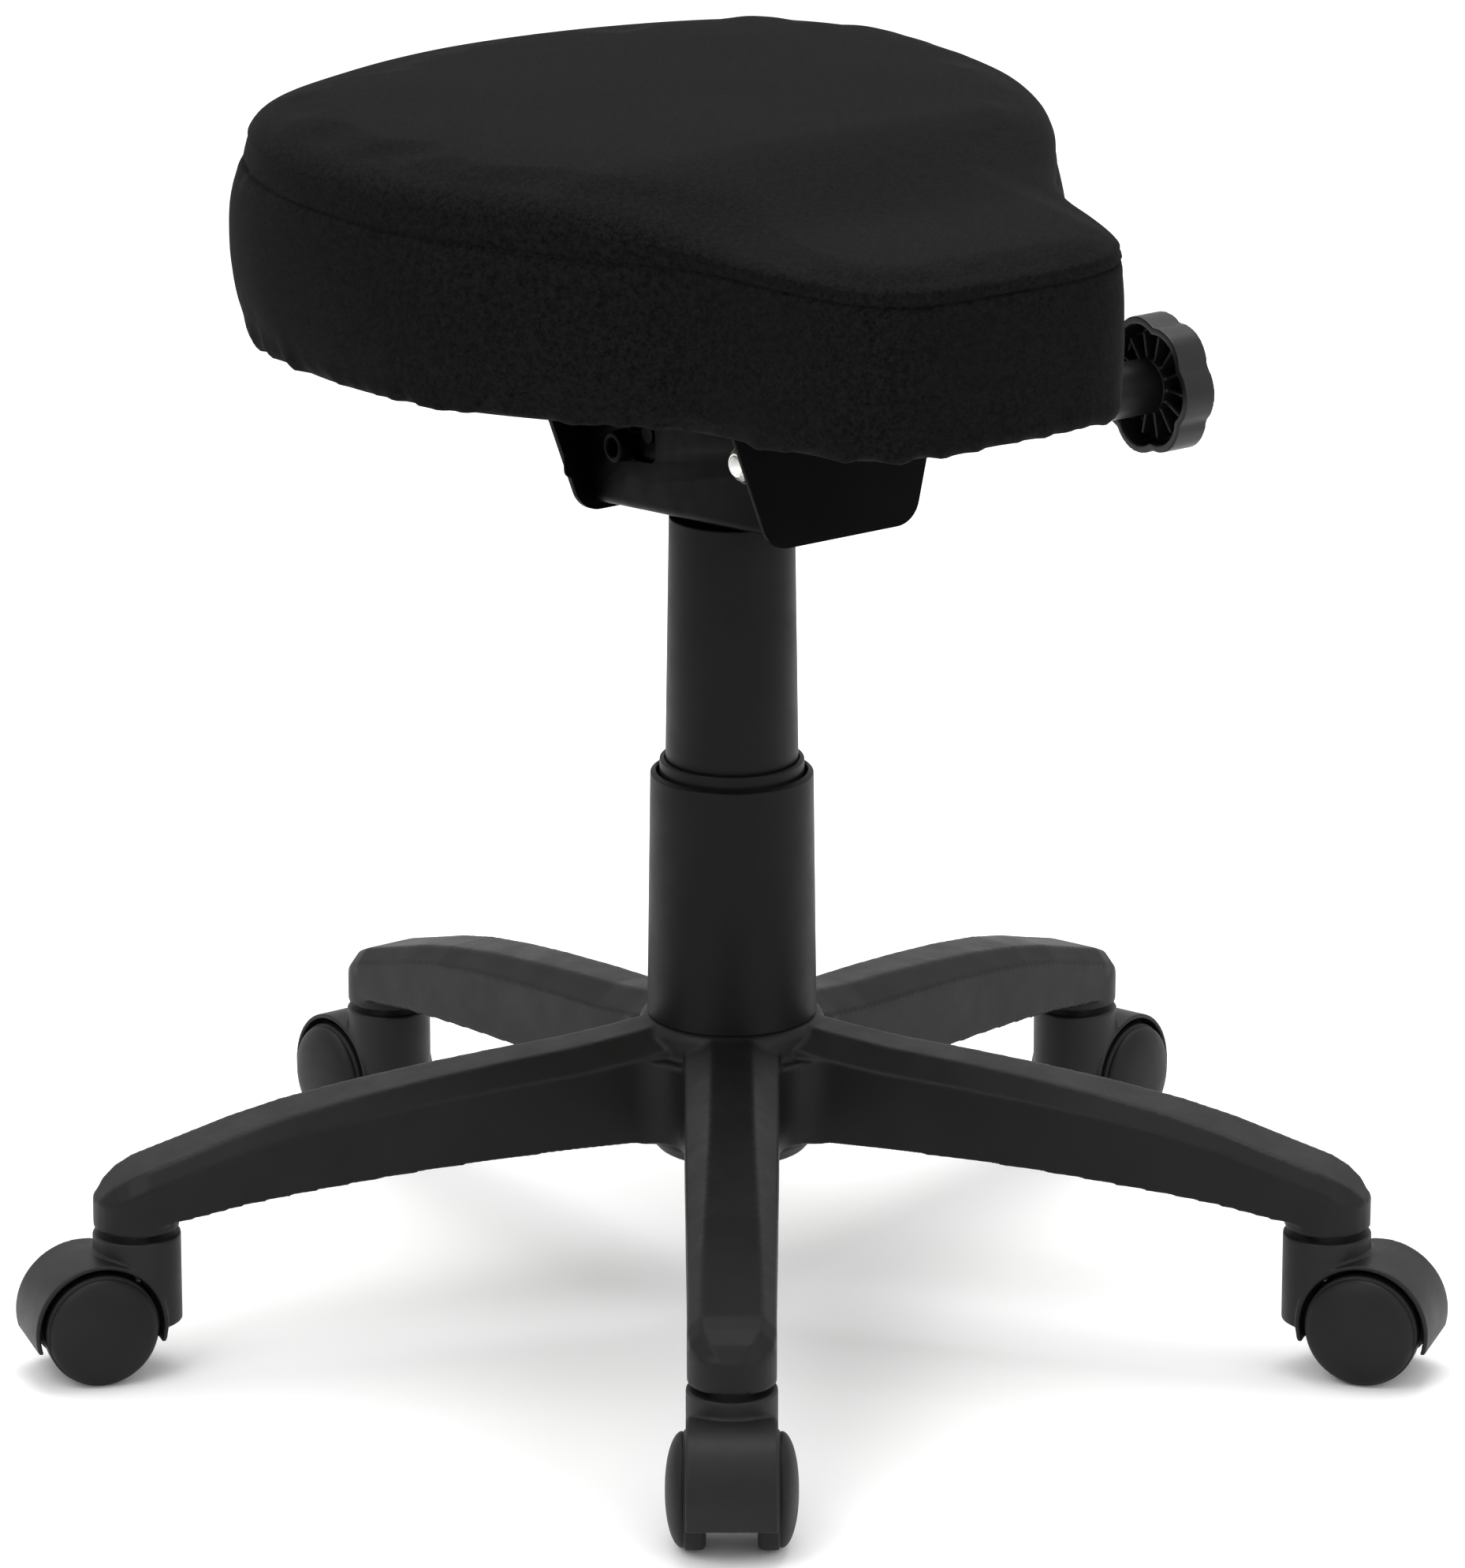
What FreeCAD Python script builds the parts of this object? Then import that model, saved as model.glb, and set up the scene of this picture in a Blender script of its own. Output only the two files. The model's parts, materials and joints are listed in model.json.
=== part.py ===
import FreeCAD, Part
import math
import os
import Sketcher
from FreeCAD import Vector, Placement, Rotation

# Adjustable swivel stool: five-star castor base, gas lift with telescopic covers,
# pressed-steel tilt mechanism with a side hand knob, saddle-shaped upholstered seat.
# Frame: millimetres, +Z up, origin on the floor under the column axis,
# the seat's nose points to -Y, the hand knob is on the +X side.

doc = FreeCAD.newDocument("swivel_stool")
sheet = doc.addObject("Spreadsheet::Sheet", "dims")

DIMS = [
    # base
    ("stem_circle_radius", 275.5, "castor stem axis from the column axis"),
    ("arm_count", 5, "arms of the base"),
    ("socket_radius", 19.0, "castor socket outside radius"),
    ("socket_bottom", 65.5, "underside of the castor sockets"),
    ("socket_bore_radius", 5.55, "stem bore in the socket"),
    ("socket_bore_top", 87.0, "blind end of the stem bore"),
    ("hub_radius", 41.5, "hub outside radius"),
    ("hub_bottom", 73.5, "hub underside"),
    ("hub_top", 136.5, "hub top face"),
    ("hub_bore_radius", 25.03, "seat of the gas lift tube"),
    ("ring_radius", 29.0, "steel hub ring outside radius"),
    ("ring_height", 6.0, "steel hub ring height"),
    ("arm_wall", 3.6, "wall of the hollow arms"),
    ("web_radius", 18.0, "corner radius between two arms"),
    # castors
    ("castor_trail", 21.0, "axle behind the stem"),
    ("wheel_radius", 25.0, "castor wheel radius"),
    ("wheel_inner", 11.5, "inner face of a wheel from the middle"),
    ("wheel_tread_end", 19.5, "outer end of the tread from the middle"),
    ("wheel_dome", 8.8, "height of the domed outer face"),
    ("wheel_bore_radius", 3.05, "wheel bore"),
    ("wheel_bore_end", 22.3, "blind end of the wheel bore"),
    ("wheel_recess_radius", 21.0, "inner recess of a wheel"),
    ("wheel_boss_radius", 9.5, "inner boss of a wheel"),
    ("wheel_recess_end", 17.0, "bottom of the inner recess"),
    ("hood_radius", 30.0, "hood outside radius about the axle"),
    ("hood_inner_radius", 27.8, "wheel arch radius"),
    ("hood_cavity_radius", 26.5, "cavity beside the web"),
    ("hood_half_width", 19.5, "half width of the hood"),
    ("hood_web_half", 4.0, "half thickness of the middle web"),
    ("hood_boss_radius", 8.4, "axle boss radius"),
    ("hood_boss_half", 11.2, "half length of the axle boss"),
    ("hood_bottom", 16.7, "lower edge of the hood"),
    ("hood_top", 62.9, "top of the stem housing"),
    ("hood_shank_bottom", 22.0, "bottom of the stem housing"),
    ("stem_radius", 5.5, "castor stem radius"),
    ("stem_bottom", 41.0, "lower end of the stem"),
    ("stem_top", 86.0, "upper end of the stem"),
    ("stem_collar_radius", 9.0, "stem collar radius"),
    ("stem_collar_top", 65.2, "top of the stem collar"),
    ("axle_radius", 3.0, "castor axle radius"),
    ("axle_half", 22.0, "half length of the castor axle"),
    # column
    ("tube_radius", 25.0, "outer tube of the gas lift"),
    ("tube_inner_radius", 23.4, "inside of the outer tube"),
    ("tube_bottom", 70.0, "bottom of the outer tube"),
    ("tube_floor_top", 74.0, "top of the tube's bottom plate"),
    ("tube_top", 239.0, "top of the outer tube"),
    ("bush_radius", 23.35, "guide bush outside radius"),
    ("bush_bore_radius", 14.08, "guide bush bore"),
    ("bush_bottom", 186.0, "guide bush lower end"),
    ("lower_cover_bottom_radius", 37.3, "lower cover at its foot"),
    ("lower_cover_top_radius", 36.5, "lower cover at its lip"),
    ("lower_cover_top", 249.0, "lip of the lower cover"),
    ("lower_cover_wall", 2.6, "wall of the lower cover"),
    ("middle_cover_radius", 33.2, "middle cover radius"),
    ("middle_cover_lip_radius", 32.0, "middle cover radius at its lip"),
    ("middle_cover_inner_radius", 30.0, "middle cover inside"),
    ("middle_cover_bottom", 156.0, "foot of the middle cover"),
    ("middle_cover_top", 255.0, "lip of the middle cover"),
    ("upper_cover_bottom_radius", 29.2, "upper cover at its foot"),
    ("upper_cover_top_radius", 28.0, "upper cover at its top"),
    ("upper_cover_inner_radius", 26.2, "upper cover inside"),
    ("upper_cover_bottom", 241.0, "foot of the upper cover"),
    ("upper_cover_top", 366.4, "top of the upper cover"),
    ("rod_radius", 5.0, "piston rod radius"),
    ("rod_hole_radius", 5.08, "running hole for the piston rod"),
    ("rod_bottom", 64.0, "lower end of the piston rod"),
    ("rod_top", 203.0, "upper end of the piston rod"),
    ("piston_radius", 12.42, "piston radius"),
    ("piston_bottom", 194.0, "piston lower face"),
    ("piston_top", 201.0, "piston upper face"),
    ("cylinder_radius", 14.0, "gas cylinder outside radius"),
    ("cylinder_bore_radius", 12.5, "gas cylinder bore"),
    ("cylinder_bottom", 184.0, "lower end of the gas cylinder"),
    ("cylinder_chamber_top", 320.0, "end of the gas chamber"),
    ("cone_start", 364.0, "start of the mounting cone"),
    ("cone_top_radius", 13.2, "radius at the cone's top"),
    ("cylinder_top", 398.0, "top of the gas cylinder"),
    ("gland_radius", 12.48, "gland outside radius"),
    ("gland_top", 191.0, "gland upper face"),
    ("valve_radius", 4.0, "release pin radius"),
    ("valve_hole_radius", 4.06, "release pin bore"),
    ("valve_bottom", 380.0, "release pin lower end"),
    ("valve_top", 402.0, "release pin upper end"),
    ("valve_hole_bottom", 376.0, "bottom of the release pin bore"),
    # tilt mechanism; the pressed housing leans back by mech_lean
    ("mech_lean", 5.9, "lean of the housing, degrees, nose end high"),
    ("mech_bottom", 370.0, "housing underside on the column axis"),
    ("channel_half", 34.0, "half width of the channel"),
    ("channel_wall", 2.5, "sheet thickness of the channel"),
    ("channel_height", 52.0, "height of the channel walls"),
    ("channel_front", -79.5, "front end of the channel"),
    ("channel_rear", 59.5, "rear end of the channel"),
    ("channel_bend", 4.5, "outside bend radius of the channel"),
    ("plate_thickness", 3.0, "end plate thickness"),
    ("plate_drop", 4.0, "end plates below the channel floor"),
    ("plate_bottom_half", 38.7, "half width of the end plates at the bottom"),
    ("plate_flare", 17.0, "flare of the end plates' sides, degrees"),
    ("plate_corner", 13.0, "corner radius of the end plates"),
    ("socket_hub_radius", 20.0, "taper socket outside radius"),
    ("socket_hub_bottom", 366.8, "taper socket lower end"),
    ("socket_hub_top", 394.0, "taper socket upper end"),
    ("pivot_y", -57.0, "tilt pivot"),
    ("pivot_z", 407.5, "tilt pivot height"),
    ("pivot_rod_radius", 5.0, "pivot rod radius"),
    ("pivot_hole_radius", 5.08, "running holes on the pivot rod"),
    ("lever_y", 34.0, "lift lever axle"),
    ("lever_z", 395.5, "lift lever axle height"),
    ("lever_radius", 4.0, "lift lever rod radius"),
    ("lever_hole_radius", 4.08, "running holes on the lever rod"),
    ("lever_bush_radius", 6.5, "lever bush outside radius"),
    ("slot_front", 7.0, "front edge of the stop slot"),
    ("slot_rear", 26.3, "rear edge of the stop slot"),
    ("slot_bottom", 23.0, "bottom of the stop slot above the channel floor"),
    ("stud_y", 17.0, "stop stud"),
    ("stud_z", 404.0, "stop stud height"),
    ("stud_radius", 4.0, "stop stud radius"),
    # knob
    ("sleeve_radius", 12.0, "knob sleeve radius"),
    ("sleeve_start", 34.4, "inner end of the sleeve"),
    ("knob_back", 184.0, "back rim of the knob"),
    ("knob_front", 200.0, "front face of the knob"),
    ("knob_radius", 31.5, "knob radius over the lobes"),
    ("knob_valley_radius", 29.0, "knob radius between the lobes"),
    ("knob_lobes", 7, "lobes of the knob"),
    ("knob_wall", 3.4, "wall of the knob"),
    # seat
    ("seat_plate_bottom", 439.0, "seat plate underside"),
    ("seat_plate_thickness", 3.0, "seat plate thickness"),
    ("seat_plate_half_x", 80.0, "seat plate half width"),
    ("seat_plate_half_y", 80.0, "seat plate half length"),
    ("seat_screw_x", 64.0, "seat screw from the middle"),
    ("seat_screw_y", 66.0, "seat screw from the axis"),
    ("ear_inner", 28.2, "inner face of the pivot ears"),
    ("ear_thickness", 3.0, "pivot ear thickness"),
    ("board_thickness", 12.0, "plywood seat board"),
    ("cover_bottom", 440.8, "underside of the turned-in cover hem"),
    ("seam_height", 516.0, "sewn seam height on the column axis"),
    ("seam_slope", 0.035, "rise of the seam towards the rear"),
    ("crown_height", 29.0, "crown above the seam over the wide part"),
    ("nose_crown_height", 13.0, "crown above the seam over the nose"),
    ("cover_thickness", 1.6, "cover thickness"),
]
for i, (name, value, note) in enumerate(DIMS, start=1):
    sheet.set("A%d" % i, name)
    sheet.set("B%d" % i, str(value))
    sheet.set("C%d" % i, note)
    sheet.setAlias("B%d" % i, name)
doc.recompute()


def dim(name):
    return float(sheet.get(name))


# ---------------------------------------------------------------- helpers
# An expression is a string that uses the sheet's aliases through d(...).
def ex(text):
    """Turn an expression in plain aliases into one that reads the sheet."""
    out, word = [], ""
    for ch in text + " ":
        if ch.isalnum() or ch == "_":
            word += ch
            continue
        if word:
            out.append("dims." + word if word in ALIASES else word)
            word = ""
        out.append(ch)
    return "".join(out).strip()


ALIASES = set(n for n, _, _ in DIMS)


def val(text):
    """The value of an expression in plain aliases, for sketch start positions."""
    names = {n: dim(n) for n in ALIASES if n in text}
    total, sign, token = 0.0, 1.0, ""
    terms = []
    for ch in str(text).replace("-", "+-").split("+"):
        if not ch.strip():
            continue
        t = ch.strip()
        s = 1.0
        if t.startswith("-"):
            s, t = -1.0, t[1:].strip()
        prod = 1.0
        for k in t.split("*"):
            k = k.strip()
            if "/" in k:
                a, b = k.split("/")
                prod *= (names[a.strip()] if a.strip() in names else float(a)) / (
                    names[b.strip()] if b.strip() in names else float(b))
            else:
                prod *= names[k] if k in names else float(k)
        terms.append(s * prod)
    return sum(terms)


SUBPARTS = []


def keep(obj, label, placement=None):
    """Register a finished sub-part under its own label."""
    obj.Label = label
    if placement is not None:
        obj.Placement = placement
    SUBPARTS.append(obj)
    return obj


def bind(obj, prop, text):
    obj.setExpression(prop, ex(str(text)))


def cylinder(name, radius, height, x="0", y="0", z="0", axis="Z"):
    o = doc.addObject("Part::Cylinder", name)
    bind(o, "Radius", radius)
    bind(o, "Height", height)
    rot = {"Z": Rotation(), "X": Rotation(Vector(0, 1, 0), 90), "Y": Rotation(Vector(1, 0, 0), -90)}[axis]
    o.Placement = Placement(Vector(val(x), val(y), val(z)), rot)
    bind(o, "Placement.Base.x", x)
    bind(o, "Placement.Base.y", y)
    bind(o, "Placement.Base.z", z)
    return o


def box(name, x0, x1, y0, y1, z0, z1):
    o = doc.addObject("Part::Box", name)
    bind(o, "Length", "%s - (%s)" % (x1, x0))
    bind(o, "Width", "%s - (%s)" % (y1, y0))
    bind(o, "Height", "%s - (%s)" % (z1, z0))
    bind(o, "Placement.Base.x", x0)
    bind(o, "Placement.Base.y", y0)
    bind(o, "Placement.Base.z", z0)
    return o


def fuse(name, *objs):
    o = doc.addObject("Part::MultiFuse", name)
    o.Shapes = list(objs)
    o.Refine = True
    return o


def cut(name, base, tool):
    o = doc.addObject("Part::Cut", name)
    o.Base = base
    o.Tool = tool
    o.Refine = True
    return o


def plane_of(body, role):
    for f in body.Origin.OriginFeatures:
        if f.Role == role:
            return f
    raise RuntimeError("no plane " + role)


def sketch_polygon(body, name, plane, points):
    """A closed polygon whose corners are bound to expressions (u, v)."""
    sk = body.newObject("Sketcher::SketchObject", name)
    sk.AttachmentSupport = [(plane_of(body, plane), "")]
    sk.MapMode = "FlatFace"
    n = len(points)
    pts = [Vector(val(u), val(v), 0) for u, v in points]
    for i in range(n):
        sk.addGeometry(Part.LineSegment(pts[i], pts[(i + 1) % n]), False)
    for i in range(n):
        sk.addConstraint(Sketcher.Constraint("Coincident", i, 2, (i + 1) % n, 1))
    for i, (u, v) in enumerate(points):
        for axis, text, kind, ref in (("x", u, "DistanceX", -2), ("y", v, "DistanceY", -1)):
            if abs(val(text)) < 1e-9:
                sk.addConstraint(Sketcher.Constraint("PointOnObject", i, 1, ref))
            else:
                c = sk.addConstraint(Sketcher.Constraint(kind, -1, 1, i, 1, val(text)))
                nm = "%s%d" % (axis, i)
                sk.renameConstraint(c, nm)
                if any(a in str(text) for a in ALIASES):
                    sk.setExpression("Constraints." + nm, ex(str(text)))
    return sk


def turned(name, label, points, placement=None):
    """A PartDesign body turned about its own Z axis from a closed (r, z) profile."""
    body = doc.addObject("PartDesign::Body", name)
    sk = sketch_polygon(body, name + "_profile", "XZ_Plane", points)
    rev = body.newObject("PartDesign::Revolution", name + "_turn")
    rev.Profile = sk
    rev.ReferenceAxis = (sk, ["V_Axis"])
    rev.Angle = 360.0
    sk.Visibility = False
    body.Tip = rev
    return keep(body, label, placement)


# ---------------------------------------------------------------- five-star base
# Arm stations: radius, crown height, underside height, half width, half crown width, shoulder drop.
ARM = [
    (20.0, 136.1, 81.5, 21.0, 8.5, 7.0),
    (38.0, 135.5, 83.5, 21.0, 8.5, 8.0),
    (52.0, 133.1, 85.5, 21.0, 8.7, 8.5),
    (77.0, 129.5, 85.5, 20.9, 9.2, 8.6),
    (108.0, 126.7, 85.0, 20.6, 9.8, 8.4),
    (142.0, 122.9, 83.5, 20.2, 10.6, 8.1),
    (175.0, 118.5, 81.2, 19.9, 11.4, 7.8),
    (206.0, 113.1, 78.5, 19.5, 12.2, 7.5),
    (230.0, 107.3, 75.9, 19.2, 12.8, 7.2),
    (252.0, 100.5, 72.3, 19.0, 13.2, 7.0),
    (273.5, 94.1, 69.5, 19.0, 13.2, 6.8),
    (281.5, 90.5, 68.5, 17.9, 12.0, 6.4),
    (288.0, 86.3, 67.5, 14.3, 9.0, 5.6),
    (292.0, 81.9, 67.0, 9.6, 5.6, 4.6),
    (293.9, 77.0, 66.5, 5.0, 2.6, 3.0),
]


def arm_wire(r, top, bottom, half, crown, drop):
    pts = [(-half, bottom), (half, bottom), (half, top - drop), (crown, top), (-crown, top), (-half, top - drop)]
    v = [Vector(r, a, b) for a, b in pts]
    return Part.makePolygon(v + [v[0]])


def arm_at(r):
    for a, b in zip(ARM[:-1], ARM[1:]):
        if a[0] <= r <= b[0]:
            t = (r - a[0]) / (b[0] - a[0])
            return tuple(p + (q - p) * t for p, q in zip(a, b))
    raise ValueError(r)


def make_base():
    wall = dim("arm_wall")
    arm = Part.makeLoft([arm_wire(*s) for s in ARM], True, True)
    socket = Part.makeCylinder(dim("socket_radius"), 80.0 - dim("socket_bottom"),
                               Vector(dim("stem_circle_radius"), 0, dim("socket_bottom")))
    arm = arm.fuse(socket)
    # three open cells under each arm, with cross ribs between them
    for r0, r1 in ((52.0, 110.0), (112.6, 172.0), (174.6, 244.0)):
        wires = []
        for r in [r0] + [s[0] for s in ARM if r0 + 4 < s[0] < r1 - 4] + [r1]:
            _, top, bottom, half, crown, drop = arm_at(r)
            h, c = half - wall, crown - 1.2
            pts = [(-h, bottom - 3), (h, bottom - 3), (h, top - drop - wall), (c, top - wall), (-c, top - wall), (-h, top - drop - wall)]
            v = [Vector(r, a, b) for a, b in pts]
            wires.append(Part.makePolygon(v + [v[0]]))
        arm = arm.cut(Part.makeLoft(wires, True, True))
    bore = Part.makeCylinder(dim("socket_bore_radius"), dim("socket_bore_top") - dim("socket_bottom") + 1,
                             Vector(dim("stem_circle_radius"), 0, dim("socket_bottom") - 1))
    arm = arm.cut(bore)
    # hub, turned
    R, z0, z1 = dim("hub_radius"), dim("hub_bottom"), dim("hub_top")
    rr, rh, rb = dim("ring_radius") + 0.05, dim("ring_height"), dim("hub_bore_radius")
    prof = [(rr, z0), (33, z0), (39, z0 + 7), (R, z0 + 16), (R, z1 - 3.5), (39.2, z1), (rb, z1), (rb, z0 + rh), (rr, z0 + rh)]
    v = [Vector(a, 0, b) for a, b in prof]
    hub = Part.Face(Part.makePolygon(v + [v[0]])).revolve(Vector(0, 0, 0), Vector(0, 0, 1), 360)
    # webs that round the corners between neighbouring arms
    n = int(dim("arm_count"))
    half_angle = math.pi / n
    w, rw = 21.0, dim("web_radius")
    centre = (w + rw) / math.sin(half_angle)
    run = (w + rw) / math.tan(half_angle)
    inner = Vector(10, 0, 0)
    a = Vector(run * math.cos(-half_angle) + w * math.cos(-half_angle + math.pi / 2),
               run * math.sin(-half_angle) + w * math.sin(-half_angle + math.pi / 2), 0)
    b = Vector(a.x, -a.y, 0)
    mid = Vector(centre - rw, 0, 0)
    arc = Part.Arc(a, mid, b).toShape()
    wire = Part.Wire([Part.LineSegment(inner, a).toShape(), arc, Part.LineSegment(b, inner).toShape()])
    web = Part.Face(wire).extrude(Vector(0, 0, 38.0))
    web.translate(Vector(0, 0, 85.5))
    clear = Part.makeCylinder(rb + 8, 200)
    arm = arm.cut(clear)
    web = web.cut(clear)
    shape = hub
    start = math.pi / 2
    for k in range(n):
        s = arm.copy()
        s.rotate(Vector(0, 0, 0), Vector(0, 0, 1), math.degrees(start + 2 * math.pi * k / n))
        shape = shape.fuse(s)
        s = web.copy()
        s.rotate(Vector(0, 0, 0), Vector(0, 0, 1), math.degrees(start + 2 * math.pi * (k + 0.5) / n))
        shape = shape.fuse(s)
    return shape.removeSplitter()


base = doc.addObject("Part::Feature", "five_star_base")
base.Shape = make_base()
keep(base, "five_star_base")

turned("hub_ring", "hub_ring", [
    ("hub_bore_radius + 0.05", "hub_bottom"), ("ring_radius", "hub_bottom"),
    ("ring_radius", "hub_bottom + ring_height"), ("hub_bore_radius + 0.05", "hub_bottom + ring_height")])

# ---------------------------------------------------------------- column
turned("gas_outer_tube", "gas_outer_tube", [
    ("rod_hole_radius", "tube_bottom"), ("tube_radius - 1.5", "tube_bottom"), ("tube_radius", "tube_bottom + 4"),
    ("tube_radius", "tube_top"), ("tube_inner_radius", "tube_top"), ("tube_inner_radius", "tube_floor_top"),
    ("rod_hole_radius", "tube_floor_top")])
turned("guide_bush", "guide_bush", [
    ("bush_bore_radius", "bush_bottom"), ("bush_radius", "bush_bottom"), ("bush_radius", "tube_top"),
    ("tube_radius - 0.4", "tube_top"), ("tube_radius - 0.4", "tube_top + 2"), ("bush_bore_radius", "tube_top + 2")])
turned("lower_cover", "lower_cover", [
    ("lower_cover_bottom_radius - lower_cover_wall", "hub_top"), ("lower_cover_bottom_radius", "hub_top"),
    ("lower_cover_top_radius", "lower_cover_top - 2"), ("lower_cover_top_radius - 0.8", "lower_cover_top"),
    ("lower_cover_top_radius - lower_cover_wall", "lower_cover_top"),
    ("lower_cover_top_radius - lower_cover_wall", "lower_cover_top - 4")])
turned("middle_cover", "middle_cover", [
    ("middle_cover_inner_radius", "middle_cover_bottom"), ("middle_cover_radius", "middle_cover_bottom"),
    ("middle_cover_radius", "middle_cover_top - 8"), ("middle_cover_lip_radius", "middle_cover_top - 1.5"),
    ("middle_cover_lip_radius - 1", "middle_cover_top"), ("middle_cover_inner_radius", "middle_cover_top")])
turned("upper_cover", "upper_cover", [
    ("upper_cover_inner_radius", "upper_cover_bottom"), ("upper_cover_bottom_radius", "upper_cover_bottom"),
    ("upper_cover_top_radius", "upper_cover_top - 1"), ("upper_cover_top_radius - 1", "upper_cover_top"),
    ("cylinder_radius + 0.3", "upper_cover_top"), ("cylinder_radius + 0.3", "upper_cover_top - 3"),
    ("upper_cover_inner_radius", "upper_cover_top - 3")])
turned("piston_rod", "piston_rod", [
    ("0", "rod_bottom"), ("rod_radius - 0.8", "rod_bottom"), ("rod_radius", "rod_bottom + 0.8"),
    ("rod_radius", "rod_top - 0.8"), ("rod_radius - 0.8", "rod_top"), ("0", "rod_top")])
turned("piston", "piston", [
    ("rod_radius + 0.02", "piston_bottom"), ("piston_radius", "piston_bottom"), ("piston_radius", "piston_top"),
    ("rod_radius + 0.02", "piston_top")])
turned("gas_gland", "gas_gland", [
    ("rod_hole_radius", "cylinder_bottom + 0.5"), ("gland_radius", "cylinder_bottom + 0.5"),
    ("gland_radius", "gland_top"), ("rod_hole_radius", "gland_top")])
turned("gas_cylinder", "gas_cylinder", [
    ("cylinder_bore_radius", "cylinder_bottom"), ("cylinder_radius", "cylinder_bottom"),
    ("cylinder_radius", "cone_start"), ("cone_top_radius", "cylinder_top - 1"), ("cone_top_radius - 1", "cylinder_top"),
    ("valve_hole_radius", "cylinder_top"), ("valve_hole_radius", "valve_hole_bottom"), ("0", "valve_hole_bottom"),
    ("0", "cylinder_chamber_top"), ("cylinder_bore_radius", "cylinder_chamber_top")])
turned("valve_button", "valve_button", [
    ("0", "valve_bottom"), ("valve_radius", "valve_bottom"), ("valve_radius", "valve_top - 0.8"),
    ("valve_radius - 0.8", "valve_top"), ("0", "valve_top")])

# thrust bearing: two races and a ball ring, three separate solids
races = [cylinder("race_low_o", "20", "1.6", z="tube_floor_top + 0.2"), cylinder("race_low_i", "6", "1.6", z="tube_floor_top + 0.2"),
         cylinder("race_up_o", "20", "1.6", z="tube_floor_top + 6.2"), cylinder("race_up_i", "6", "1.6", z="tube_floor_top + 6.2")]
low = cut("race_low", races[0], races[1])
up = cut("race_up", races[2], races[3])
balls = doc.addObject("Part::Torus", "ball_ring")
balls.Radius1 = 13.5
balls.Radius2 = 2.1
bind(balls, "Placement.Base.z", "tube_floor_top + 4")
bearing = doc.addObject("Part::Compound", "thrust_bearing")
bearing.Links = [low, balls, up]
keep(bearing, "thrust_bearing")
clip_o = cylinder("clip_o", "10", "2", z="tube_bottom - 2.4")
clip_i = cylinder("clip_i", "rod_radius + 0.02", "2", z="tube_bottom - 2.4")
keep(cut("rod_clip", clip_o, clip_i), "rod_clip")

# ---------------------------------------------------------------- tilt mechanism
# The pressed housing lies in its own leaning frame: u across, v along (to the rear), w up.
LEAN = Placement(Vector(0, 0, dim("mech_bottom")), Rotation(Vector(1, 0, 0), -dim("mech_lean")))


def leaning(obj):
    obj.Placement = LEAN
    bind(obj, "Placement.Base.z", "mech_bottom")
    return obj


def make_channel():
    h, t, H = dim("channel_half"), dim("channel_wall"), dim("channel_height")
    y0, y1, r = dim("channel_front"), dim("channel_rear"), dim("channel_bend")
    def section(half, z, rad):
        a, b = Vector(-half, y0, H), Vector(half, y0, H)
        lo_l, lo_r = Vector(-half, y0, z + rad), Vector(half, y0, z + rad)
        s = rad * (1 - math.sqrt(0.5))
        edges = [Part.LineSegment(a, lo_l).toShape(),
                 Part.Arc(lo_l, Vector(-half + s, y0, z + s), Vector(-half + rad, y0, z)).toShape(),
                 Part.LineSegment(Vector(-half + rad, y0, z), Vector(half - rad, y0, z)).toShape(),
                 Part.Arc(Vector(half - rad, y0, z), Vector(half - s, y0, z + s), lo_r).toShape(),
                 Part.LineSegment(lo_r, b).toShape()]
        return edges, a, b
    eo, ao, bo = section(h, 0.0, r)
    ei, ai, bi = section(h - t, t, r - t)
    wire = Part.Wire(eo + [Part.LineSegment(bo, bi).toShape()] + [e for e in reversed(ei)] + [Part.LineSegment(ai, ao).toShape()])
    ch = Part.Face(wire).extrude(Vector(0, y1 - y0, 0))
    inv = LEAN.inverse()
    # stop slots, open at the top
    s0, s1, sb = dim("slot_front"), dim("slot_rear"), dim("slot_bottom")
    slot = Part.makeBox(2 * h + 10, s1 - s0, H, Vector(-h - 5, s0, sb))
    edges = [e for e in slot.Edges if abs(e.CenterOfMass.z - sb) < 1e-6 and abs(e.Vertexes[0].X - e.Vertexes[1].X) > 1]
    slot = slot.makeFillet(5.0, edges)
    ch = ch.cut(slot)
    # pivot rod, lever rod and bush holes, square to the walls
    def across(radius, y, z, x0, x1):
        p = inv.multVec(Vector(0, y, z))
        return Part.makeCylinder(radius, x1 - x0, Vector(x0, p.y, p.z), Vector(1, 0, 0))
    ch = ch.cut(across(dim("pivot_hole_radius"), dim("pivot_y"), dim("pivot_z"), -50, 50))
    ch = ch.cut(across(dim("lever_hole_radius"), dim("lever_y"), dim("lever_z"), 0, 50))
    ch = ch.cut(across(dim("lever_bush_radius") - 1.2, dim("lever_y"), dim("lever_z"), -50, 0))
    # clearance hole for the taper socket, upright in the leaning floor
    c = Part.makeCylinder(dim("socket_hub_radius") + 0.02, 60, Vector(0, 0, -30))
    c.Placement = Placement(inv.multVec(Vector(0, 0, dim("mech_bottom"))), Rotation(Vector(1, 0, 0), dim("mech_lean")))
    ch = ch.cut(c)
    return ch


channel = doc.addObject("Part::Feature", "mech_channel")
channel.Shape = make_channel()
keep(leaning(channel), "mech_channel")


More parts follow.
